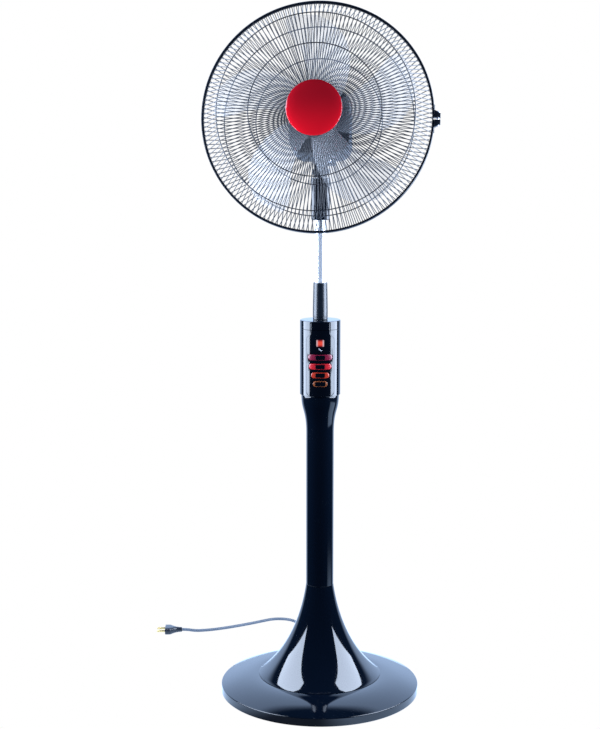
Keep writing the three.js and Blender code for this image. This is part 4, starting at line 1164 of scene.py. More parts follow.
def own(piece: bpy.types.Object, finish: Finish, body: Body | str, nodes: Iterable[str]) -> bpy.types.Object:
    """Gives a piece its finish and its body.

    Args:
        piece: The piece, in place.
        finish: Its finish.
        body: The body that it rides on.
        nodes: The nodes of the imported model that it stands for.

    Returns:
        The piece.
    """
    piece.data.materials.clear()
    piece.data.materials.append(finish.material())
    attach(piece, body.value if isinstance(body, Body) else body)
    if nodes:
        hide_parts(*nodes)
    log.info("%s: %s", piece.name, finish.name)
    return piece


def make(
    name: str, form: Form, finish: Finish, body: Body | str, *nodes: str, sharp: float = 32.0
) -> bpy.types.Object:
    """Makes a piece from a form.

    Args:
        name: Of the piece.
        form: Its shape, in place.
        finish: Its finish.
        body: The body that it rides on.
        nodes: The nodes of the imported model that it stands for.
        sharp: Angle in degrees over which an edge stays crisp.

    Returns:
        The piece.
    """
    piece = bpy.data.objects.new(name, form.mesh(name, sharp))
    bpy.context.scene.collection.objects.link(piece)
    return own(piece, finish, body, nodes)


def dress_node(frame: dict, name: str, finish: Finish) -> None:
    """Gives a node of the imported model, whose shape stays, its finish.

    Args:
        name: The node's name.
        finish: Its finish.
    """
    node = frame["nodes"][name]
    node.data.materials.clear()
    node.data.materials.append(finish.material())
    log.info("%s: %s, kept", name, finish.name)


# ---- Studio -----------------------------------------------------------------------------------------


@dataclass
class Softbox:
    """A lamp behind a white cloth."""

    name: str
    place: tuple[float, float, float]
    aim: tuple[float, float, float]
    width: float
    height: float
    power: float
    colour: Colour = (0.67, 0.79, 1.0)

    def build(self) -> None:
        """Hangs the lamp."""
        light = bpy.data.lights.new(self.name, "AREA")
        light.shape = "RECTANGLE"
        light.size, light.size_y = self.width, self.height
        light.energy = self.power
        light.color = self.colour
        holder = bpy.data.objects.new(self.name, light)
        holder.location = self.place
        holder.rotation_euler = (Vector(self.aim) - Vector(self.place)).to_track_quat("-Z", "Y").to_euler()
        holder.visible_camera = False
        bpy.context.scene.collection.objects.link(holder)


@dataclass
class Studio:
    """Camera, floor and light: a bright wall behind, a dark room in front and a softbox at each side."""

    camera_place: tuple[float, float, float] = (0.0, -2.80, 1.10)
    pitch: float = 8.72
    yaw: float = 0.813
    lens: float = 71.0
    floor_radius: float = 0.55
    floor_place: tuple[float, float] = (-0.06, 0.12)
    room_dark: Colour = (0.012, 0.03, 0.065)
    wall_light: Colour = (1.45, 2.0, 3.0)
    wall_low_light: Colour = (0.7, 0.95, 1.4)
    side_light: Colour = (1.3, 1.8, 2.6)
    softboxes: list[Softbox] = field(
        default_factory=lambda: [
            Softbox("softbox_left", (-0.76, -0.10, 0.965), (0.207, -0.10, 0.712), 0.75, 1.106, 43.0),
            Softbox("softbox_right", (0.76, -0.10, 0.965), (-0.207, -0.10, 0.712), 0.75, 1.106, 43.0),
        ]
    )

    def build(self) -> None:
        """Sets up the studio."""
        bpy.context.scene.view_settings.view_transform = "Standard"
        self._camera()
        self._floor()
        self._room()
        for softbox in self.softboxes:
            softbox.build()

    def _camera(self) -> None:
        """Places the camera."""
        camera = bpy.data.cameras.new("camera")
        camera.lens = self.lens
        camera.sensor_width = 36.0
        camera.clip_end = 60.0
        holder = bpy.data.objects.new("camera", camera)
        holder.location = self.camera_place
        holder.rotation_euler = (math.radians(90 - self.pitch), 0.0, math.radians(self.yaw))
        bpy.context.scene.collection.objects.link(holder)
        bpy.context.scene.camera = holder

    def _floor(self) -> None:
        """Lays a plain floor that glows beside the fan and stays dark in front of it."""
        sheet = bmesh.new()
        bmesh.ops.create_circle(sheet, cap_ends=True, segments=96, radius=self.floor_radius)
        mesh = bpy.data.meshes.new("floor")
        sheet.to_mesh(mesh)
        sheet.free()
        floor = bpy.data.objects.new("floor", mesh)
        floor.location = (*self.floor_place, -0.0006)
        floor.visible_camera = False
        bpy.context.scene.collection.objects.link(floor)
        paper = bpy.data.materials.new("floor_paper")
        paper.use_nodes = True
        shader = Shader(paper.node_tree)
        across, depth, _ = shader.axes()
        beside = across.size().ramp(0.05, 0.15).maximum(depth.ramp(-0.1, 0.1))
        tooth = shader.noise(60.0, 2.0)
        shader.surface(
            {
                "Base Color": shader.mix(tooth, (0.06, 0.06, 0.07), (0.08, 0.08, 0.09)),
                "Roughness": 0.95,
                "Specular IOR Level": 0.0,
                "Emission Color": shader.mix(beside, self.room_dark, self.side_light),
                "Emission Strength": 0.9,
            }
        )
        mesh.materials.append(paper)

    def _room(self) -> None:
        """Lights the room: bright behind and low at the sides, dark in front and overhead."""
        world = bpy.data.worlds.new("room")
        world.use_nodes = True
        bpy.context.scene.world = world
        shader = Shader(world.node_tree)
        direction = shader.node("ShaderNodeTexCoord", output="Generated")
        split = world.node_tree.nodes.new("ShaderNodeSeparateXYZ")
        shader.plug(split.inputs[0], direction)
        across, depth, up = (Tone(shader, split.outputs[i]) for i in range(3))
        level = (across * across + depth * depth) ** 0.5 + 0.001
        wall = (depth / level).ramp(0.55, 0.75) * (1.0 - up.ramp(0.77, 0.87))
        right = (across / level).ramp(0.9, 0.97) * (0.0 - up).ramp(0.27, 0.32)
        sides = shader.mix(right, self.room_dark, self.side_light)
        bright = shader.mix((0.0 - up).ramp(-0.35, 0.15), self.wall_light, self.wall_low_light)
        walls = shader.mix(wall, sides, bright)
        room = shader.node("ShaderNodeBackground", None, {"Color": walls, "Strength": 1.0})
        sweep = shader.node("ShaderNodeBackground", None, {"Color": (1.0, 1.0, 1.0), "Strength": 1.0})
        seen = shader.node("ShaderNodeLightPath", output="Is Camera Ray")
        mixed = shader.node("ShaderNodeMixShader", None, {0: seen, 1: room, 2: sweep})
        end = world.node_tree.nodes.new("ShaderNodeOutputWorld")
        world.node_tree.links.new(mixed.socket, end.inputs["Surface"])


# ---- Mains lead -------------------------------------------------------------------------------------


@dataclass
class MainsLead:
    """The free mains lead: strain relief, coil behind the base, run to the side, plug."""

    radius: float = 3.25
    low: float = 3.4
    coil_middle: tuple[float, float] = (0.0, 310.0)
    bottom_turns: tuple[float, ...] = (45.6, 39.0, 32.4)
    top_turns: tuple[float, ...] = (35.8, 42.3)
    top_rise: float = 5.6
    steps_per_turn: int = 24
    start: tuple[float, float, float] = (0.0, 205.8, 7.7)
    lead_in: tuple[tuple[float, float, float], ...] = (
        (0.0, 213.5, 7.0),
        (-2.6, 223.0, 4.9),
        (-8.0, 233.5, 3.6),
        (-19.0, 243.6, 3.4),
        (-34.0, 255.5, 3.4),
        (-46.0, 270.0, 3.4),
        (-52.0, 287.0, 3.4),
        (-52.45, 300.0, 3.4),
    )
    way_out: tuple[tuple[float, float, float], ...] = (
        (-52.2, 319.0, 9.7),
        (-52.9, 330.0, 7.4),
        (-53.3, 341.0, 4.5),
        (-53.4, 352.0, 3.4),
        (-52.0, 370.0, 3.4),
        (-50.4, 389.0, 3.4),
        (-53.2, 404.0, 3.4),
        (-62.0, 417.0, 3.4),
        (-75.0, 425.6, 3.4),
        (-91.0, 429.2, 3.4),
        (-110.0, 426.4, 3.4),
        (-129.0, 415.8, 3.4),
        (-148.0, 403.2, 3.4),
        (-170.0, 389.6, 3.4),
        (-192.0, 377.0, 3.4),
        (-216.0, 364.6, 3.4),
        (-240.0, 354.2, 3.4),
        (-262.0, 347.0, 3.6),
        (-282.0, 342.4, 4.4),
        (-300.0, 340.7, 6.9),
        (-312.7, 340.0, 7.7),
    )
    plug_place: tuple[float, float, float] = (-313.0, 340.0, 7.7)
    plug_heading: float = 183.0
    length: float = 1.75

    def build(self, frame: dict) -> None:
        """Makes the lead and what is on it.
        """
        plug = self._plug()
        pins = self._pins()
        relief = self._relief()
        cord = self._cord()
        [MM * value for value in self.start]

    def _coil(self) -> list[Vector]:
        """The coil's turns, clockwise as seen from above, from its left side.

        Returns:
            The points along it.
        """
        turns = (*self.bottom_turns, *self.top_turns)
        count = len(turns) * self.steps_per_turn
        beside = -self.lead_in[-1][0]
        points = []
        for i in range(2, count):
            place = i / self.steps_per_turn
            turn = int(place)
            share = place - turn
            before = turns[turn - 1] if turn else beside
            ease = min(1.0, share / 0.2)
            ease = ease * ease * (3 - 2 * ease)
            radius = before + (turns[turn] - before) * ease
            layers = len(self.bottom_turns)
            lift = 1.0 if turn > layers else ease if turn == layers else 0.0
            height = self.low + self.top_rise * lift
            ending = max(0.0, (place - len(turns) + 0.2) / 0.2)
            ending = ending * ending * (3 - 2 * ending)
            radius += (beside - radius) * ending
            height += 0.9 * ending
            angle = math.pi - TURN * place
            x = self.coil_middle[0] + radius * math.cos(angle)
            points.append(Vector((x, self.coil_middle[1] + radius * math.sin(angle), height)))
        return points

    def _cord(self) -> bpy.types.Object:
        """The lead itself, as one line.

        Returns:
            The piece.
        """
        route = [Vector(self.start), *(Vector(p) for p in self.lead_in), *self._coil()]
        route += [Vector(p) for p in self.way_out]
        curve = bpy.data.curves.new("mains_lead", "CURVE")
        curve.dimensions = "3D"
        spline = curve.splines.new("BEZIER")
        spline.bezier_points.add(len(route) - 1)
        for knot, spot in zip(spline.bezier_points, route):
            knot.co = spot * MM
            knot.handle_left_type = knot.handle_right_type = "AUTO"
        curve.bevel_depth = self.radius * MM
        curve.bevel_resolution = 4
        curve.resolution_u = 5
        curve.use_fill_caps = True
        piece = bpy.data.objects.new("mains_lead", curve)
        bpy.context.scene.collection.objects.link(piece)
        return own(piece, CORD, Body.STAND, ("cord_lead_in", "cord_coil", "cord_tail"))

    def _relief(self) -> bpy.types.Object:
        """The ribbed strain relief in the base's edge, tapering along the lead.

        Returns:
            The piece.
        """
        body = block((-7.0, 192.5, 3.3), (7.0, 200.0, 12.4), 1.0)
        route = bent_line((199.0, 7.75), (226.0, 4.75), ((208.0, 7.75), (217.0, 6.6)), 40)
        sizes = []
        for i in range(len(route)):
            share = i / (len(route) - 1)
            rib = 0.35 if i % 5 in (1, 2, 3) and i < 36 else 0.0
            sizes.append(4.4 * (1 - share) + 3.75 * share + rib * (1 - 0.7 * share))
        line = [Vector((-2.8 * (max(0, y - 205) / 21) ** 2, y, z)) for y, z in route]
        form = body.add(swept(line, sizes, 32))
        return make("strain_relief", form, RUBBER, Body.STAND, "cord_gland", sharp=50)

    def _plug_frame(self) -> Matrix:
        """The plug's place, with X along it."""
        turn = Matrix.Rotation(math.radians(self.plug_heading), 4, "Z")
        return Matrix.Translation(self.plug_place) @ turn

    def _plug(self) -> bpy.types.Object:
        """The plug's moulded body, with finger grooves.

        Returns:
            The piece.
        """
        stations = [(0.0, 10.2, 10.2), (4.0, 11.0, 11.0), (12.5, 13.0, 12.6), (18.0, 19.0, 13.8)]
        stations += [(23.0, 28.0, 14.6), (26.6, 34.4, 15.0), (30.0, 36.0, 15.0)]
        stations += [(37.2, 36.0, 15.0), (38.0, 34.6, 13.6)]
        rings = []
        for (x, wide, tall), (x2, wide2, tall2) in zip(stations, stations[1:]):
            for k in range(4):
                t = k / 4
                spot = x + (x2 - x) * t
                groove = 0.5 if 4 < spot < 24 and int(spot / 1.6) % 2 else 0.0
                width, height = wide + (wide2 - wide) * t - groove, tall + (tall2 - tall) * t - groove
                outline = rounded_rectangle(width, height, 5.0 + 1.4 * min(1.0, spot / 30), steps=6)
                rings.append([Vector((spot, y, z)) for y, z in outline])
        x, wide, tall = stations[-1]
        rings.append([Vector((x, y, z)) for y, z in rounded_rectangle(wide, tall, 6.0, steps=6)])
        form = Form().skin(rings).moved(self._plug_frame())
        return make("mains_plug", form, TRIM, Body.STAND, "plug_body", sharp=40)

    def _pins(self) -> list[bpy.types.Object]:
        """The plug's two round pins.

        Returns:
            The pieces.
        """
        pins = []
        for side, across in (("left", 9.5), ("right", -9.5)):
            profile = [(0, 38.3), (2.4, 38.3), (2.4, 55.2), (1.9, 56.4), (0, 57.0)]
            pin = turned(profile, 32, 0.5)
            turn = Matrix.Translation((0, across, 0)) @ Matrix.Rotation(math.pi / 2, 4, "Y")
            form = pin.moved(self._plug_frame() @ turn)
            pins.append(make(f"plug_pin_{side}_round", form, BRASS, Body.STAND, f"plug_pin_{side}"))
        return pins


# ---- Base -------------------------------------------------------------------------------------------


@dataclass
class Base:
    """The round foot of the fan."""

    radius: float = 199.0
    lower_edge: float = 3.0
    side_top: float = 19.0
    crown: float = 1.8
    top: float = 38.0
    seat_radius: float = 123.0
    wall: float = 2.5
    foot_circle: float = 165.0
    foot_radius: float = 12.0

    def cover_height(self, radius: float) -> float:
        """Height of the cover's outer face at a radius."""
        share = max(0.0, (radius - self.seat_radius) / (self.radius - self.seat_radius))
        return self.top - (self.top - self.side_top) * share**self.crown

    def build(self, frame: dict) -> None:
        """Makes the base's pieces.
        """
        self._cover()
        self._feet()
        for name, finish in (("base_weight", IRON), ("support_flange", STEEL), ("flange_nut", ZINC)):
            dress_node(frame, name, finish)
        self._plate()

    def _cover(self) -> None:
        """The domed cover, with its notch for the lead."""
        lip = self.seat_radius - 12
        radii = [self.seat_radius + (self.radius - 1.0 - self.seat_radius) * i / 40 for i in range(41)]
        top = [(r, self.cover_height(r)) for r in reversed(radii)]
        under = [(r, self.cover_height(r) - self.wall) for r in radii[:-2]]
        rim = [(self.radius, self.side_top - 4), (self.radius, self.side_top + 0.1), top[1]]
        edge = softened(rim, 2.4, 6, False)
        profile = [
            (self.radius - self.wall, self.lower_edge),
            (self.radius - 0.8, self.lower_edge),
            (self.radius, self.lower_edge + 0.8),
            *edge[:-1],
            *top[1:],
            (self.seat_radius - 3, self.top),
            (lip, self.top),
            (lip, self.top - self.wall),
            *under,
            (self.radius - self.wall, self.side_top - self.wall),
        ]
        notch = block((-7.3, 191.5, 0.0), (7.3, 202.0, 12.7))
        form = carved(turned(profile, 288), notch)
        make("base_dome", form, HOUSING, Body.STAND, "base_cover", sharp=40)

    def _plate(self) -> None:
        """The pressed plate underneath, with ribs rolled into it."""
        outer = self.radius - self.wall - GAP
        line = []
        for i in range(120):
            r = 9.0 + (outer - 9.0) * i / 119
            swell = 0.0 if r < 60 or r > 150 else 0.25 * (1 - math.cos((r - 60) / 90 * 3 * TURN)) / 2
            line.append((r, self.lower_edge + swell))
        top = [(outer, self.lower_edge + 1.2), (9.0, self.lower_edge + 1.2)]
        notch = block((-7.3, 188.0, 0.0), (7.3, 202.0, 12.0))
        form = carved(turned([*line, *top], 192), notch)
        make("floor_plate", form, STEEL, Body.STAND, "base_plate", sharp=40)

    def _feet(self) -> None:
        """Four turned rubber feet with grip rings."""
        profile = [(0, 0.9), (4, 0.9), (4.6, 0.0), (6.4, 0.0), (7.0, 0.7), (8.0, 0.7)]
        profile += [(8.6, 0.0), (11.2, 0.0), (self.foot_radius, 0.8), (self.foot_radius, 2.7), (0, 2.7)]
        for i in range(4):
            place = Matrix.Translation(spoke(self.foot_circle, (i + 0.5) * TURN / 4))
            form = turned(profile, 64, 0.2).moved(place)
            make(f"rubber_foot_{i + 1}", form, RUBBER, Body.STAND, f"foot_pad_{i + 1}")


# ---- Column -----------------------------------------------------------------------------------------


@dataclass
class Column:
    """The trumpet-shaped foot of the column and the tube above it."""

    flare_radius: float = 123.0
    low: float = 38.3
    flare_top: float = 224.0
    neck_radius: float = 27.5
    radius: float = 27.3
    taper_start: float = 534.0
    top: float = 612.0
    top_radius: float = 37.2
    wall: float = 2.4

    def build(self, frame: dict) -> None:
        """Makes the column's pieces.
        """
        self._flare()
        self._tube()
        for name, finish in (("support_tube", STEEL), ("inner_mains_lead", CORD)):
            dress_node(frame, name, finish)

    def _flare(self) -> None:
        """The trumpet."""
        height = self.flare_top - self.low + GAP
        handles = (
            (0.44 * self.flare_radius, self.low + 0.28 * height),
            (self.neck_radius + 5.5, self.flare_top - 0.22 * height),
        )
        outer = bent_line((self.flare_radius, self.low), (self.neck_radius, self.flare_top), handles, 72)
        inner = [(r - self.wall * (1 + max(0.0, 1 - i / 36)), z) for i, (r, z) in enumerate(outer)]
        profile = [(self.flare_radius - 0.5, self.low), (self.flare_radius, self.low + 0.4), *outer[1:]]
        form = turned([*profile, *reversed(inner)], 224)
        make("trumpet", form, HOUSING, Body.STAND, "column_flare", sharp=50)

    def _tube(self) -> None:
        """The straight tube and its taper."""
        length = self.top - self.taper_start
        handles = (
            (self.radius, self.taper_start + 0.6 * length),
            (self.top_radius, self.top - 0.45 * length),
        )
        taper = bent_line((self.radius, self.taper_start), (self.top_radius, self.top), handles, 40)
        start = [(self.radius - 0.3, self.flare_top + 0.3)]
        start += [(self.radius, self.flare_top + rise) for rise in (0.6, 0.9, 1.6)]
        step = (self.taper_start - self.flare_top) / 10
        straight = [(self.radius, self.flare_top + step * i) for i in range(1, 10)]
        brim = [(self.top_radius, self.top - 0.4), (self.top_radius - 0.4, self.top)]
        outer = [*start, *straight, *taper[:-1], *brim]
        inner = [(r - 2.5, z) for r, z in outer]
        form = turned([*outer, *reversed(inner)], 160)
        make("column_tube", form, HOUSING, Body.STAND, "column_cover", sharp=50)


# ---- Control box ------------------------------------------------------------------------------------


@dataclass
class Key:
    """One pill-shaped key."""

    name: str
    body: str
    width: float
    height: float
    inlay: float
    finish: Finish


@dataclass
class ControlBox:
    """The round box with the front panel, its keys and its display."""

    radius: float = 39.7
    wall: float = 2.5
    low: float = 612.3
    seam: float = 743.0
    top: float = 760.0
    panel_radius: float = 40.2
    panel_width: float = 54.0
    neck_width: float = 37.0
    key_radius: float = 41.3
    key_height: float = 11.0
    display_middle: float = 718.0
    sides: int = 192
    keys: list[Key] = field(
        default_factory=lambda: [
            Key("power_button", "power_key", 47.5, 690.0, 18.6, KEY_CRIMSON),
            Key("speed_button", "speed_key", 44.0, 672.0, 18.6, KEY_RED),
            Key("swing_button", "swing_key", 35.0, 655.0, 18.6, KEY_SCARLET),
            Key("timer_button", "timer_key", 28.4, 638.0, 20.4, KEY_ORANGE),
        ]
    )

    def build(self, frame: dict) -> None:
        """Makes the box's pieces.
        """
        self._shell()
        self._cap()
        self._panel()
        self._display()
        for key in self.keys:
            self._key(key)
        for name, finish in (("circuit_board", BOARD), ("pole_collet", TRIM)):
            dress_node(frame, name, finish)

    def panel_outline(self, margin: float = 0.0) -> Outline:
        """The bottle-shaped border of the front panel, grown by a margin.

        Args:
            margin: How far it is grown.

        Returns:
            Its points across and up.
        """
        low, high = self.low + 1.0 - margin, self.seam - 0.3 + margin
        half, neck = self.panel_width / 2 + margin, self.neck_width / 2 + margin
        shoulder, corner = self.seam - 14.0, 9.0 + margin
        foot_handles = ((half - corner / 3, low), (half, low + corner / 3))
        foot = bent_line((half - corner, low), (half, low + corner), foot_handles, 8)
        side_handles = ((half, shoulder + 3), (neck, shoulder + 1))
        side = bent_line((half, shoulder - 6), (neck, high), side_handles, 14)
        right = [*foot, *side]
        return [*right, *((-x, y) for x, y in reversed(right))]

    def _opening(self) -> Form:
        """What is cut out of the shell for the panel."""
        upright = Matrix.Rotation(math.pi / 2, 4, "X")
        return prism(self.panel_outline(GAP), 14.0, 60.0).moved(upright)

    def _shell(self) -> None:
        """The box's shell, open at the front."""
        bore = self.radius - self.wall
        throat = 26.3
        profile = [
            (throat, self.low),
            (self.radius - 0.4, self.low),
            (self.radius, self.low + 0.4),
            (self.radius, self.seam - 0.3),
            (self.radius - 0.3, self.seam),
            (bore, self.seam),
            (bore, self.low + self.wall),
            (throat, self.low + self.wall),
        ]
        form = carved(turned(profile, self.sides), self._opening())
        make("box_body", form, HOUSING, Body.STAND, "box_shell")

    def _cap(self) -> None:
        """The cap, and the trim block in its notch."""
        bore = self.radius - self.wall
        rim = [(self.radius, self.top - 6), (self.radius, self.top), (self.radius - 8, self.top)]
        edge = softened(rim, 1.8, 6, False)
        profile = [
            (self.radius, self.seam + 0.5),
            *edge,
            (13.9, self.top),
            (13.3, self.top - 0.6),
            (13.3, self.top - self.wall),
            (bore, self.top - self.wall),
            (bore, self.seam + 0.3),
            (self.radius - 0.2, self.seam + 0.3),
        ]
        half = self.neck_width / 2
        notch = block((-half - 0.3, -60.0, self.seam - 4), (half + 0.3, -20.0, self.top - self.wall - 0.3))
        make("cap_shell", carved(turned(profile, self.sides), notch), HOUSING, Body.STAND, "box_cap")
        outline = rounded_rectangle(self.neck_width, 13.6, 0.6, (0.0, self.seam + 7.1), 3)
        form = wrapped(outline, [], self.panel_radius, 3.0, 0.3)
        make("trim_block", form, PANEL, Body.STAND, "neck_trim")

    def _key_outline(self, width: float, height: float, middle: float, margin: float = 0.0) -> Outline:
        """The border of a key or of its hole."""
        return rounded_rectangle(width + 2 * margin, height + 2 * margin, height, (0.0, middle), 10)

    def _panel(self) -> None:
        """The glossy panel, its small lamps and its sockets for the keys."""
        holes = [self._key_outline(key.width, self.key_height, key.height, 0.45) for key in self.keys]
        holes.append(rounded_rectangle(15.5, 13.6, 1.8, (0.0, self.display_middle), 5))
        form = wrapped(self.panel_outline(), holes, self.panel_radius, 3.0, 0.35)
        make("front_panel", form, PANEL, Body.STAND, "control_fascia")
        lamps = Form()
        for x, z, wide, turn in ((-1.5, 706.4, 4.0, -0.45), (1.1, 704.0, 4.6, -0.3)):
            outline = rounded_rectangle(wide, 1.5, 0.7, (0.0, 0.0), 4)
            spin = Matrix.Rotation(turn, 2)
            spun = [tuple(Vector((x, z)) + spin @ Vector(point)) for point in outline]
            lamps.add(wrapped(spun, [], self.panel_radius + 0.06, 0.4, 0.05))
        make("signal_lamps", lamps, PRINT, Body.STAND)

    def _display(self) -> None:
        """The lit window."""
        outline = rounded_rectangle(14.9, 13.0, 1.5, (0.0, self.display_middle), 5)
        form = wrapped(outline, [], self.panel_radius + 0.2, 2.4, 0.3)
        make("display_window", form, WINDOW, Body.STAND, "display_lens")

    def _key(self, key: Key) -> None:
        """One key and the dark inlay in its face.

        Args:
            key: Its sizes and finish.
        """
        outline = self._key_outline(key.width, self.key_height, key.height)
        form = wrapped(outline, [], self.key_radius, 5.7, 0.7, 0.25)
        make(f"{key.name}_pill", form, key.finish, key.body, key.name)
        inlay = rounded_rectangle(key.inlay, self.key_height - 2.4, 1.8, (0.0, key.height), 5)
        face = wrapped(inlay, [], self.key_radius + 0.1, 0.8, 0.12)
        make(f"{key.name}_inlay", face, PANEL, key.body)


# ---- Pole and neck ----------------------------------------------------------------------------------


@dataclass
class HeadFrame:
    """Where the head's own axes lie at rest, and the sizes that its joints share."""

    tilt_height: float = 1047.0
    tilt: float = 11.0
    swing: float = -4.2
    shaft_rise: float = 88.0
    eye: float = 11.0
    stud_offset: float = 24.0

    def tilted(self) -> Matrix:
        """The knuckle's frame, with X along the tilt bolt."""
        turn = Matrix.Rotation(math.radians(-self.tilt), 4, "X")
        return Matrix.Translation((0, 0, self.tilt_height)) @ turn

    def swung(self) -> Matrix:
        """The head's frame, with Z along the swing axis."""
        return self.tilted() @ Matrix.Rotation(math.radians(self.swing), 4, "Z")

    def shaft(self) -> Matrix:
        """The motor's frame, with Z along the shaft to the front and Y up."""
        rise = Matrix.Translation((0, 0, self.shaft_rise))
        return self.swung() @ rise @ Matrix.Rotation(math.pi / 2, 4, "X")


@dataclass
class PoleAndNeck:
    """The sliding pole, the sleeve that locks it and the socket on top."""

    axes: HeadFrame
    pole_radius: float = 10.75
    pole_low: float = 150.0
    pole_high: float = 1001.0
    lock_low: float = 760.3
    lock_high: float = 833.0
    neck_low: float = 955.0
    neck_high: float = 1035.0
    neck_width: float = 36.0
    neck_depth: float = 40.0
    neck_corner: float = 12.0
    cable_exit: float = 1022.5
    clamp_height: float = 966.0

    def build(self, frame: dict) -> None:
        """Makes the pole's pieces.
        """
        self._pole()
        self._lock()
        self._socket()
        self._clamp()
        for name, finish in (("pole_bush", WHITE), ("motor_cable", RUBBER)):
            dress_node(frame, name, finish)

    def _pole(self) -> None:
        """The plated pole."""
        profile = [
            (self.pole_radius - 1.2, self.pole_low),
            (self.pole_radius, self.pole_low),
            (self.pole_radius, self.pole_high),
            (self.pole_radius - 1.2, self.pole_high),
        ]
        make("plated_pole", turned(profile, 96, 0.3), CHROME, Body.POLE, "chrome_pole")

    def _lock(self) -> None:
        """The sleeve, with a fine ring near its foot, narrowing towards its top."""
        bore = self.pole_radius + 0.45
        foot, head = bore + 3.4, bore + 2.45
        wide = self.lock_low + 0.3 * (self.lock_high - self.lock_low)
        profile = [
            (bore, self.lock_low),
            (foot - 0.5, self.lock_low),
            (foot, self.lock_low + 0.6),
            (foot, self.lock_low + 4.0),
            (foot - 0.35, self.lock_low + 4.4),
            (foot - 0.35, self.lock_low + 5.0),
            (foot, self.lock_low + 5.4),
            (foot, wide),
            (head, self.lock_high - 2.2),
            (head - 0.5, self.lock_high - 0.6),
            (head - 1.4, self.lock_high),
            (bore, self.lock_high),
        ]
        make("lock_sleeve", turned(profile, 96, 0.3), SLEEVE, Body.HEIGHT_LOCK, "height_lock_nut")

    def _socket(self) -> None:
        """The socket, with its bore and holes, and its tongue."""
        outline = rounded_rectangle(self.neck_width, self.neck_depth, self.neck_corner, steps=12)
        body = prism(outline, self.neck_low, self.neck_high, 2.2, 5)
        wide, low, high = self.pole_radius + GAP, self.neck_low - 5, self.pole_high + GAP
        bore = turned([(0, low), (wide, low), (wide, high), (0, high)], 64)
        stem = bar((0, -30, self.clamp_height), (0, 0, self.clamp_height), BOLT_BORE, 0.0)
        exit_hole = bar((0, 0, self.cable_exit), (0, 30, self.cable_exit), 3.5, 0.0)
        body = carved(body, bore, stem, exit_hole)
        eye = self.axes.eye
        arc = [tuple(spoke(eye, math.pi * i / 24).xy) for i in range(25)]
        tongue = [(eye, -13.0), *arc, (-eye, -13.0)]
        place = Matrix.Translation((0, 0, self.axes.tilt_height)) @ STANDING
        plate = plate_with_holes(tongue, [circle(BOLT_BORE, 32)], 12.0, 0.6).moved(place)
        make("neck_body", body.add(plate), HOUSING, Body.POLE, "neck_socket", sharp=40)

    def _clamp(self) -> None:
        """The clamp knob, with grip flutes."""
        start, flutes = 20.3, 12
        middle = Vector((0.0, -start, self.clamp_height))
        rings = []
        stations = [(0.0, 6.6), (0.4, 7.3), (1.0, 7.5), (6.6, 7.5), (8.0, 7.1), (8.8, 6.2), (9.0, 5.2)]
        for along, size in stations:
            flute = 0.55 if 0.5 < along < 8 else 0.15
            ring = []
            for i in range(144):
                angle = TURN * i / 144
                reach = size - flute * max(0.0, math.cos(flutes * angle)) ** 2
                ring.append(middle + Vector((reach * math.cos(angle), -along, reach * math.sin(angle))))
            rings.append(ring)
        shrink = Matrix.Diagonal((0.72, 1.0, 0.72, 1.0))
        back = Matrix.Translation((0, 0, -self.clamp_height))
        hollow = Matrix.Translation((0, 0.5, self.clamp_height)) @ shrink @ back
        rings.append([hollow @ point for point in rings[-1]])
        form = Form().skin(rings)
        form.add(bar((0, -11.05, self.clamp_height), (0, -20.4, self.clamp_height), 3.0))
        make("clamp_knob", form, TRIM, Body.NECK_CLAMP, "neck_clamp_knob", sharp=40)


# ---- Head -------------------------------------------------------------------------------------------


@dataclass
class Knuckle:
    """The piece between the socket and the head, with its bolt."""

    axes: HeadFrame
    width: float = 26.0
    depth: float = 30.0
    shoulder: float = 19.0
    top: float = 28.0
    slot: float = 6.3

    def build(self, frame: dict) -> None:
        """Makes the knuckle, bolt and nut.
        """
        place = self.axes.tilted()
        half, eye, stud = self.width / 2, self.axes.eye, self.axes.stud_offset
        arc = [tuple(spoke(eye, -math.pi * i / 24).xy) for i in range(25)]
        side = [(eye, 13.0), *arc, (-eye, 13.0)]
        form = Form()
        for middle in (-(half + self.slot) / 2, (half + self.slot) / 2):
            cheek = plate_with_holes(side, [circle(BOLT_BORE, 32)], half - self.slot, 0.7)
            form.add(cheek.moved(Matrix.Translation((middle, 0, 0)) @ STANDING))
        section = rounded_rectangle(self.width, self.depth, 5.0)
        shoulder = prism(section, eye + 1.2, self.shoulder, 1.2, 4)
        low = self.shoulder - 1
        boss = turned([(0, low), (11, low), (11, self.top), (0, self.top)], 64, 0.6)
        pivot_bore = turned([(0, 16.0), (6.75, 16.0), (6.75, 30.0), (0, 30.0)], 48)
        form.add(carved(shoulder, pivot_bore), carved(boss, pivot_bore))
        form.add(block((half - 2, -6.0, 12.0), (stud + 5, 6.0, 16.1), 1.2))
        form.add(bar((stud, 0, 13.0), (stud, 0, 19.5), 2.5, 0.4))
        make("knuckle_body", form.moved(place), HOUSING, Body.KNUCKLE, "tilt_knuckle", sharp=40)
        self._bolt(place, half)

    def _bolt(self, place: Matrix, half: float) -> None:
        """The tilt bolt with its six-sided head, and the nut.

        Args:
            place: The knuckle's frame.
            half: Half the knuckle's width.
        """
        upright = Matrix.Rotation(math.pi / 2, 4, "Y")
        hexagon, start, tip = circle(6.0, 6), -half - 1, half + 4.5
        head = prism(hexagon, -half - 3.3, -half - GAP, 0.4, 2)
        shank = turned([(0, start), (3.0, start), (3.0, tip - 0.3), (2.5, tip), (0, tip)], 32)
        make("hex_bolt", head.add(shank).moved(place @ upright), ZINC, Body.KNUCKLE, "tilt_bolt")
        thread = turned([(0, 0), (3.1, 0), (3.1, 40), (0, 40)], 32)
        nut = carved(prism(hexagon, half + GAP, half + 3.8, 0.4, 2), thread)
        make("hex_nut", nut.moved(place @ upright), ZINC, Body.KNUCKLE, "tilt_nut")


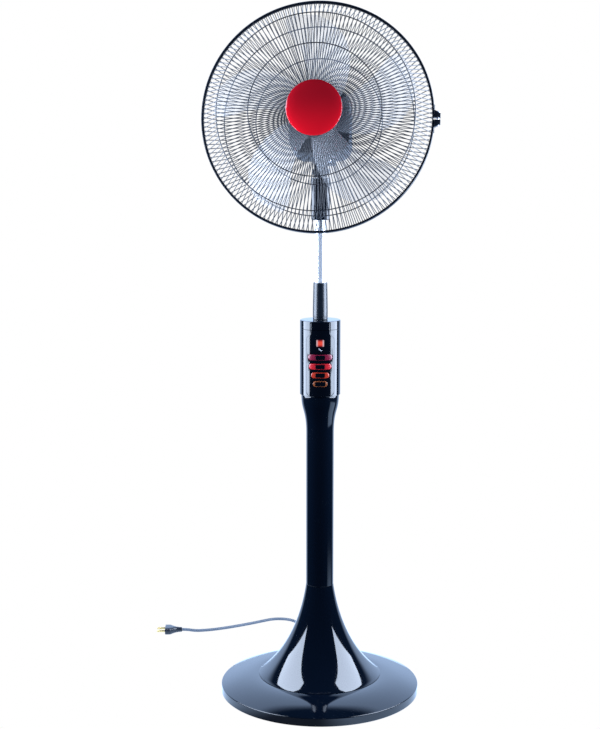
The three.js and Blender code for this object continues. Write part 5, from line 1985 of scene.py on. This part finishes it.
@dataclass
class SwingDrive:
    """Crank, link and small motor that swing the head."""

    axes: HeadFrame
    motor_place: tuple[float, float] = (5.5, 40.0)
    crank_ratio: float = 1.3
    crank_radius: float = 22.0
    throw: float = 18.5
    crank_low: float = 23.9
    crank_high: float = 27.9
    link_low: float = 20.1
    link_high: float = 23.6
    link_width: float = 8.0

    def crank_turn(self) -> float:
        """How far the crank stands from its middle at rest, in radians."""
        return math.radians(-self.crank_ratio * self.axes.swing)

    def build(self, frame: dict) -> None:
        """Makes the drive's pieces.
        """
        swung = self.axes.swung()
        middle = Matrix.Translation((*self.motor_place, 0))
        low, high, wide = self.crank_low, self.crank_high, self.crank_radius
        plate = turned([(0, low), (wide, low), (wide, high), (0, high)], 96, 0.5)
        hub = turned([(0, high - 1), (5.4, high - 1), (3.0, high + 1.2), (3.0, 34.2), (0, 34.2)], 48)
        pin = bar((self.throw, 0, self.link_low - 0.3), (self.throw, 0, self.crank_low + 1), 2.4, 0.4)
        form = plate.add(hub, pin).moved(swung @ middle @ Matrix.Rotation(self.crank_turn(), 4, "Z"))
        make("crank_disc", form, ZINC, Body.CRANK, "swing_crank")
        self._link(swung)
        profile = [(0, 34.5), (17, 34.5), (17, 48.5), (6.0, 48.5), (6.0, 51.5), (0, 51.5)]
        can = turned(profile, 96, 0.8).moved(swung @ middle)
        make("swing_gearmotor", can, ALUMINIUM, Body.HEAD, "swing_motor")

    def _link(self, swung: Matrix) -> None:
        """The flat link between the crank's pin and the knuckle's stud.

        Args:
            swung: The head's frame.
        """
        pin = Vector(self.motor_place) + spoke(self.throw, self.crank_turn()).xy
        stud = spoke(self.axes.stud_offset, math.radians(-self.axes.swing)).xy
        line = stud - pin
        outline = []
        for side in (1, -1):
            for i in range(17):
                angle = -math.pi / 2 + math.pi * i / 16
                x = self.link_width / 2 * math.cos(angle) * side + (line.length if side > 0 else 0.0)
                outline.append((x, self.link_width / 2 * math.sin(angle) * side))
        holes = [circle(2.65, 32), circle(2.75, 32, (line.length, 0.0))]
        plate = plate_with_holes(outline, holes, self.link_high - self.link_low, 0.4)
        turn = Matrix.Rotation(math.atan2(line.y, line.x), 4, "Z")
        place = Matrix.Translation((pin.x, pin.y, (self.link_low + self.link_high) / 2)) @ turn
        make("flat_link", plate.moved(swung @ place), ZINC, Body.LINK, "swing_link")


@dataclass
class Motor:
    """The rounded square motor housing and what turns in it."""

    axes: HeadFrame
    half: float = 58.0
    corner: float = 26.0
    rounding: float = 14.0
    back: float = -70.0
    split: float = -18.0
    front: float = 42.7
    wall: float = 2.5
    boss_radius: float = 18.0
    boss_length: float = 14.0

    def build(self, frame: dict) -> None:
        """Makes the motor's pieces.
        """
        place = self.axes.shaft()
        make("rear_housing", self._rear().moved(place), MOTOR, Body.HEAD, "motor_cover_rear", sharp=40)
        make("front_housing", self._front().moved(place), MOTOR, Body.HEAD, "motor_cover_front", sharp=40)
        nut = self._ring_nut().moved(place)
        make("guard_nut", nut, TRIM, Body.HEAD, "guard_ring_nut", sharp=40)
        kept = {
            "stator_core": CORE,
            "end_bell_front": ALUMINIUM,
            "end_bell_rear": ALUMINIUM,
            "bush_front": BRASS,
            "bush_rear": BRASS,
            "motor_shaft": STEEL,
            "rotor_core": CORE,
        }
        for name, finish in kept.items():
            dress_node(frame, name, finish)

    def _section(self, inset: float, forward: float) -> list[Vector]:
        """The housing's section, moved inwards, at a place along the shaft.

        Args:
            inset: How far inwards.
            forward: Place along the shaft.

        Returns:
            Its points.
        """
        size = 2 * (self.half - inset)
        corner = max(3.0, self.corner - inset)
        return [Vector((x, y, forward)) for x, y in rounded_rectangle(size, size, corner, steps=16)]

    def _rear(self) -> Form:
        """The rear housing: a rounded tub with slots for air, and a seam bead.

        Returns:
            The form.
        """
        stations = [(0.0, self.split - GAP), (0.0, self.split - 4.0), (0.7, self.split - 4.4)]
        middle = (self.split + self.back + self.rounding) / 2
        stations += [(0.7, self.split - 5.4), (0.0, self.split - 5.8), (0.0, middle)]
        steps = 12
        for i in range(steps + 1):
            angle = math.pi / 2 * i / steps
            inset = self.rounding * (1 - math.cos(angle))
            stations.append((inset, self.back + self.rounding * (1 - math.sin(angle))))
        outer = [self._section(inset, z) for inset, z in stations]
        inner = [self._section(inset + self.wall, z + self.wall) for inset, z in stations[-steps - 1 :]]
        inner.insert(0, self._section(self.wall, self.split - GAP))
        shell = Form().skin([*outer], caps=False).skin([*inner], caps=False)
        shell.skin([outer[0], inner[0]], caps=False)
        flat = [(p.x, p.y) for p in outer[-1]]
        slots = [rounded_rectangle(60.0, 4.0, 2.0, (0.0, 11.0 * row), 5) for row in range(-2, 3)]
        plate = plate_with_holes(flat, slots, self.wall, 0.3)
        plate = plate.moved(Matrix.Translation((0, 0, self.back + self.wall / 2)))
        return shell.add(plate)

    def _front(self) -> Form:
        """The front housing with the guard's boss and the swing pivot.

        Returns:
            The form.
        """
        edge = 3.0
        stations = [(0.0, self.split), (0.0, self.front - edge)]
        for i in range(1, 6):
            angle = math.pi / 2 * i / 5
            stations.append((edge * (1 - math.cos(angle)), self.front - edge * (1 - math.sin(angle))))
        outer = [self._section(inset, z) for inset, z in stations]
        inner = [self._section(self.wall, self.split), self._section(self.wall, self.front - self.wall)]
        shell = Form().skin(outer, caps=False).skin([outer[0], inner[0]], caps=False).skin(inner, caps=False)
        flat = [(p.x, p.y) for p in outer[-1]]
        plate = plate_with_holes(flat, [circle(5.5, 32)], self.wall, 0.02)
        shell.add(plate.moved(Matrix.Translation((0, 0, self.front - self.wall / 2))))
        tip = self.front + self.boss_length
        boss = [(5.5, self.front - 1), (self.boss_radius, self.front - 1)]
        for i in range(6):
            low = self.front + 1.5 + 2 * i
            boss += [(self.boss_radius, low), (self.boss_radius - 0.5, low + 1.0)]
        boss += [(self.boss_radius - 0.6, tip), (5.5, tip)]
        drop = -self.axes.shaft_rise
        upright = Matrix.Rotation(-math.pi / 2, 4, "X")
        washer, end, foot = 28.3 + drop, 17.0 + drop, -self.half + 1
        pivot = [(0, end), (6.5, end), (6.5, washer), (15.0, washer), (15.0, foot), (0, foot)]
        return shell.add(turned(boss, 96), turned(pivot, 64, 0.4).moved(upright))

    def _ring_nut(self) -> Form:
        """The plastic nut that holds the rear guard, with grip lobes.

        Returns:
            The form.
        """
        low, high, bore, sides, lobes = 44.9, 53.9, 18.3, 192, 12
        angles = [TURN * i / sides for i in range(sides)]
        outer = ((30.6, low), (31.6, low + 0.6), (31.8, low + 6.5), (29.5, high - 0.5), (28.6, high))
        rings = []
        for radius, z in outer:
            depth, power = (1.6, 3) if z < high - 1 else (0.6, 1)
            dents = [depth * max(0.0, math.cos(lobes * angle)) ** power for angle in angles]
            rings.append([spoke(radius - dent, angle, z) for dent, angle in zip(dents, angles)])
        rings += [[spoke(bore, angle, z) for angle in angles] for z in (high, low)]
        return Form().skin(rings, along=True)


class Side(Enum):
    """The two halves of the guard: name, direction from the rim, and the turn of its wires."""

    FRONT = ("front", 1, 0.0)
    REAR = ("rear", -1, 0.5)


@dataclass
class Guards:
    """The wire guards, the hoop that clamps them and the red cap."""

    axes: HeadFrame
    rim_forward: float = 88.0
    turn: float = -1.9
    radius: float = 217.0
    wire: float = 0.8
    ring_wire: float = 1.3
    rim_wire: float = 1.6
    wires: int = 156
    front_rings: tuple[tuple[float, float], ...] = ((184.0, 52.0), (123.0, 68.0))
    rear_rings: tuple[tuple[float, float], ...] = ((181.0, -40.0), (120.5, -43.0))
    front_hub: tuple[float, float] = (51.5, 79.2)
    rear_hub: tuple[float, float] = (55.0, -44.2)
    band_bore: float = 217.3
    band_wall: float = 1.6
    band_width: float = 10.0
    cap_radius: float = 51.5
    cap_low: float = 80.3

    def build(self, frame: dict) -> None:
        """Makes the guards' pieces.
        """
        turn = Matrix.Rotation(math.radians(self.turn), 4, "Z")
        self.place = self.axes.shaft() @ Matrix.Translation((0, 0, self.rim_forward)) @ turn
        self._cage(Side.FRONT, self.front_rings, self.front_hub, 37.5)
        self._cage(Side.REAR, self.rear_rings, self.rear_hub, 18.3)
        self._band()
        self._cap()

    def _line(
        self, curve: bpy.types.Curve, points: Sequence[Vector], closed: bool, size: float = 1.0
    ) -> None:
        """Adds a wire to a curve.

        Args:
            curve: The curve.
            points: The wire's points.
            closed: Whether it is a ring.
            size: Its radius, in radii of a thin wire.
        """
        spline = curve.splines.new("POLY")
        spline.points.add(len(points) - 1)
        for knot, point in zip(spline.points, points):
            knot.co = (*(self.place @ point * MM), 1.0)
            knot.radius = size
        spline.use_cyclic_u = closed
        spline.use_smooth = True

    def _cage(
        self, side: Side, rings: Sequence[tuple[float, float]], hub: tuple[float, float], bore: float
    ) -> None:
        """One guard: its wires and rings as one welded piece, and its hub plate.

        Args:
            side: Front or rear.
            rings: Radius and place of each ring.
            hub: Radius and place of the hub plate.
            bore: Radius of the plate's hole.
        """
        name, way, turn = side.value
        curve = bpy.data.curves.new(f"{name}_wires", "CURVE")
        curve.dimensions = "3D"
        curve.bevel_depth = self.wire * MM
        curve.bevel_resolution = 2
        curve.use_fill_caps = True
        rim = (self.radius - self.rim_wire, 1.75 * way)
        inner = (hub[0] - 2.0, hub[1])
        line = softened([inner, *reversed(rings), rim], 9.0, 5, closed=False)
        for i in range(self.wires):
            angle = (i + turn) * TURN / self.wires
            self._line(curve, [spoke(r, angle, z) for r, z in line], False)
        for radius, forward in rings:
            ring = self._ring(radius, forward - way * (self.wire + GAP), 160)
            self._line(curve, ring, True, self.ring_wire)
        self._line(curve, self._ring(*rim, 224), True, self.rim_wire)
        piece = bpy.data.objects.new(f"{name}_wires", curve)
        bpy.context.scene.collection.objects.link(piece)
        own(piece, WIRE, Body.HEAD, (f"{name}_guard",))
        low, high = hub[1] - 0.8, hub[1] + 0.8
        wide = hub[0]
        swell = [(wide, low), (wide, high), (wide - 3, high), (bore + 3, high), (bore, high), (bore, low)]
        make(f"{name}_hub_plate", turned(swell, 144, 0.5).moved(self.place), WIRE, Body.HEAD)

    def _ring(self, radius: float, forward: float, sides: int) -> list[Vector]:
        """The points of a ring."""
        return [Vector((x, y, forward)) for x, y in circle(radius, sides)]

    def _band(self) -> None:
        """The clamping hoop with its two ears, and the screw through them."""
        half, groove, lip = self.band_width / 2, 3.7, self.radius - self.rim_wire + GAP
        outer = self.band_bore + self.band_wall
        profile = [
            (self.band_bore, -groove),
            (self.band_bore, groove),
            (lip, groove),
            (lip, half),
            (outer - 0.5, half),
            (outer, half - 0.6),
            (outer, 1.0),
            (outer - 0.4, 0.0),
            (outer, -1.0),
            (outer, -half + 0.6),
            (outer - 0.5, -half),
            (lip, -half),
            (lip, -groove),
        ]
        gap = block((200.0, -2.0, -10.0), (240.0, 2.0, 10.0))
        hoop = carved(turned(profile, 288), gap)
        root, tip = outer - 1.0, outer + 11.0
        for side in (-1, 1):
            corners = [(root, 2.0), (tip, 2.0), (tip, 10.0), (tip - 4.0, 12.3), (root, 16.5)]
            if side < 0:
                corners = [(x, -y) for x, y in reversed(corners)]
            ear = prism(softened(corners, 1.0, 4), -6.0, 6.0, 0.8, 4)
            hole = bar((tip - 5.0, 0, 0), (tip - 5.0, side * 30.0, 0), 2.25, 0.0)
            hoop.add(carved(ear, hole))
        hoop.add(block((root - 0.6, 16.0, -3.0), (root + 1.0, 26.0, 3.0), 0.4))
        hoop.add(block((root - 0.6, -26.0, -3.0), (root + 1.0, -16.0, 3.0), 0.4))
        make("clamp_hoop", hoop.moved(self.place), TRIM, Body.HEAD, "guard_band", sharp=40)
        screw = bar((tip - 5.0, -13.0, 0), (tip - 5.0, 11.0, 0), 2.0, 0.4)
        head = turned([(0, 12.6), (4.0, 12.6), (3.9, 13.8), (2.8, 14.8), (0, 15.1)], 48)
        head = carved(head, block((-0.5, -5.0, 14.0), (0.5, 5.0, 17.0)))
        upright = Matrix.Translation((tip - 5.0, 0, 0)) @ Matrix.Rotation(-math.pi / 2, 4, "X")
        form = screw.add(head.moved(upright)).moved(self.place)
        make("hoop_screw", form, ZINC, Body.HEAD, "band_screw")

    def _cap(self) -> None:
        """The domed cap, with a fine step round its edge."""
        edge = self.cap_low + 3.0
        handles = ((0.8 * self.cap_radius, edge + 4.5), (0.4 * self.cap_radius, edge + 5.0))
        dome = bent_line((self.cap_radius - 0.5, edge), (0.0, edge + 5.0), handles, 40)
        profile = [
            (0.0, self.cap_low),
            (self.cap_radius - 0.4, self.cap_low),
            (self.cap_radius, self.cap_low + 0.4),
            (self.cap_radius, edge - 0.6),
            (self.cap_radius - 0.15, edge - 0.2),
            *dome,
        ]
        make("red_cap", turned(profile, 192).moved(self.place), CAP, Body.HEAD, "center_cap", sharp=50)


@dataclass
class Blade:
    """The five-bladed propeller and the nut that holds it."""

    axes: HeadFrame
    count: int = 5
    forward: float = 96.0
    hub_radius: float = 40.0
    hub_length: float = 36.0
    hub_wall: float = 2.5
    radius: float = 193.0
    thickness: float = 2.2
    root_chord: float = 62.0
    tip_chord: float = 118.0
    root_pitch: float = 36.0
    tip_pitch: float = 19.0
    sweep: float = 26.0

    def build(self, frame: dict) -> None:
        """Makes the propeller and its nut.
        """
        place = self.axes.shaft()
        form = self._hub()
        for i in range(self.count):
            form.add(self._petal().moved(Matrix.Rotation(i * TURN / self.count, 4, "Z")))
        form = form.moved(place @ Matrix.Translation((0, 0, self.forward)))
        make("propeller", form, BLADE, Body.ROTOR, "fan_blade", sharp=50)
        self._nut(place)

    def _hub(self) -> Form:
        """The hub: a cup over the shaft, with ribs inside.

        Returns:
            The form.
        """
        half, bore, inner = self.hub_length / 2, 4.3, self.hub_radius - self.hub_wall
        profile = [
            (bore, -half),
            (bore + 6, -half),
            (bore + 6, half - self.hub_wall),
            (inner, half - self.hub_wall),
            (inner, -half),
            (self.hub_radius, -half),
            (self.hub_radius, half - 3),
            (self.hub_radius - 3, half),
            (bore, half),
        ]
        hub = turned(profile, 128, 0.8)
        for i in range(6):
            rib = block((bore + 4, -0.8, -half + 6), (inner + 1, 0.8, half - 2), 0.3)
            hub.add(rib.moved(Matrix.Rotation(i * TURN / 6, 4, "Z")))
        return hub

    def _petal(self) -> Form:
        """One twisted blade over X, thinner towards its edges, with a rounded tip.

        Returns:
            The form.
        """
        along, across, tip = 26, 14, 0.72
        rings = []
        for i in range(along + 1):
            outward = i / along
            radius = self.hub_radius - 1 + (self.radius - self.hub_radius + 1) * outward
            taper = math.sqrt(max(0.0, 1 - 0.75 * max(0.0, (outward - tip) / (1 - tip)) ** 2))
            chord = self.root_chord + (self.tip_chord - self.root_chord) * math.sin(outward * math.pi / 2)
            chord *= taper
            pitch = math.radians(self.root_pitch + (self.tip_pitch - self.root_pitch) * outward)
            sweep = math.radians(self.sweep) * outward**1.5
            thin = self.thickness * (1 - 0.35 * outward)
            faces: list[list[Vector]] = [[], []]
            for k in range(across + 1):
                share = k / across - 0.5
                edge = math.sqrt(max(0.02, 1 - (2 * share) ** 4))
                angle = share * chord * math.cos(pitch) / radius + sweep
                camber = 1.2 * (1 - (2 * share) ** 2) * (0.4 + outward * 0.6)
                for face, side in enumerate((0.5, -0.5)):
                    z = share * chord * math.sin(pitch) + side * thin * edge + camber
                    faces[face].append(spoke(radius, angle, z))
            rings.append([*faces[0], *reversed(faces[1])])
        return Form().skin(rings)

    def _nut(self, place: Matrix) -> None:
        """The nut on the shaft's end, with grip wings.

        Args:
            place: The motor's frame.
        """
        low, bore = self.forward + self.hub_length / 2 + GAP, 4.3
        profile = [(bore, low), (15, low), (15, low + 10), (10, low + 17), (0, low + 17)]
        profile += [(0, low + 14), (bore, low + 14)]
        form = turned(profile, 64, 0.8)
        for i in range(8):
            rib = block((13.0, -1.0, low + 1.0), (15.2, 1.0, low + 9.0), 0.4)
            form.add(rib.moved(Matrix.Rotation(i * TURN / 8, 4, "Z")))
        make("blade_nut", form.moved(place), TRIM, Body.ROTOR, "blade_spinner", sharp=40)


# ---- Assembly ---------------------------------------------------------------------------------------


def main() -> None:
    """Builds the fan's looks."""
    logging.basicConfig(level=logging.INFO, format="%(name)s: %(message)s")
    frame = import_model()
    axes = HeadFrame()
    Studio().build()
    parts = (
        MainsLead(),
        Base(),
        Column(),
        ControlBox(),
        PoleAndNeck(axes),
        Knuckle(axes),
        SwingDrive(axes),
        Motor(axes),
        Guards(axes),
        Blade(axes),
    )
    for part in parts:
        part.build(frame)
        log.info("%s done", type(part).__name__)


if __name__ == "__main__":
    main()
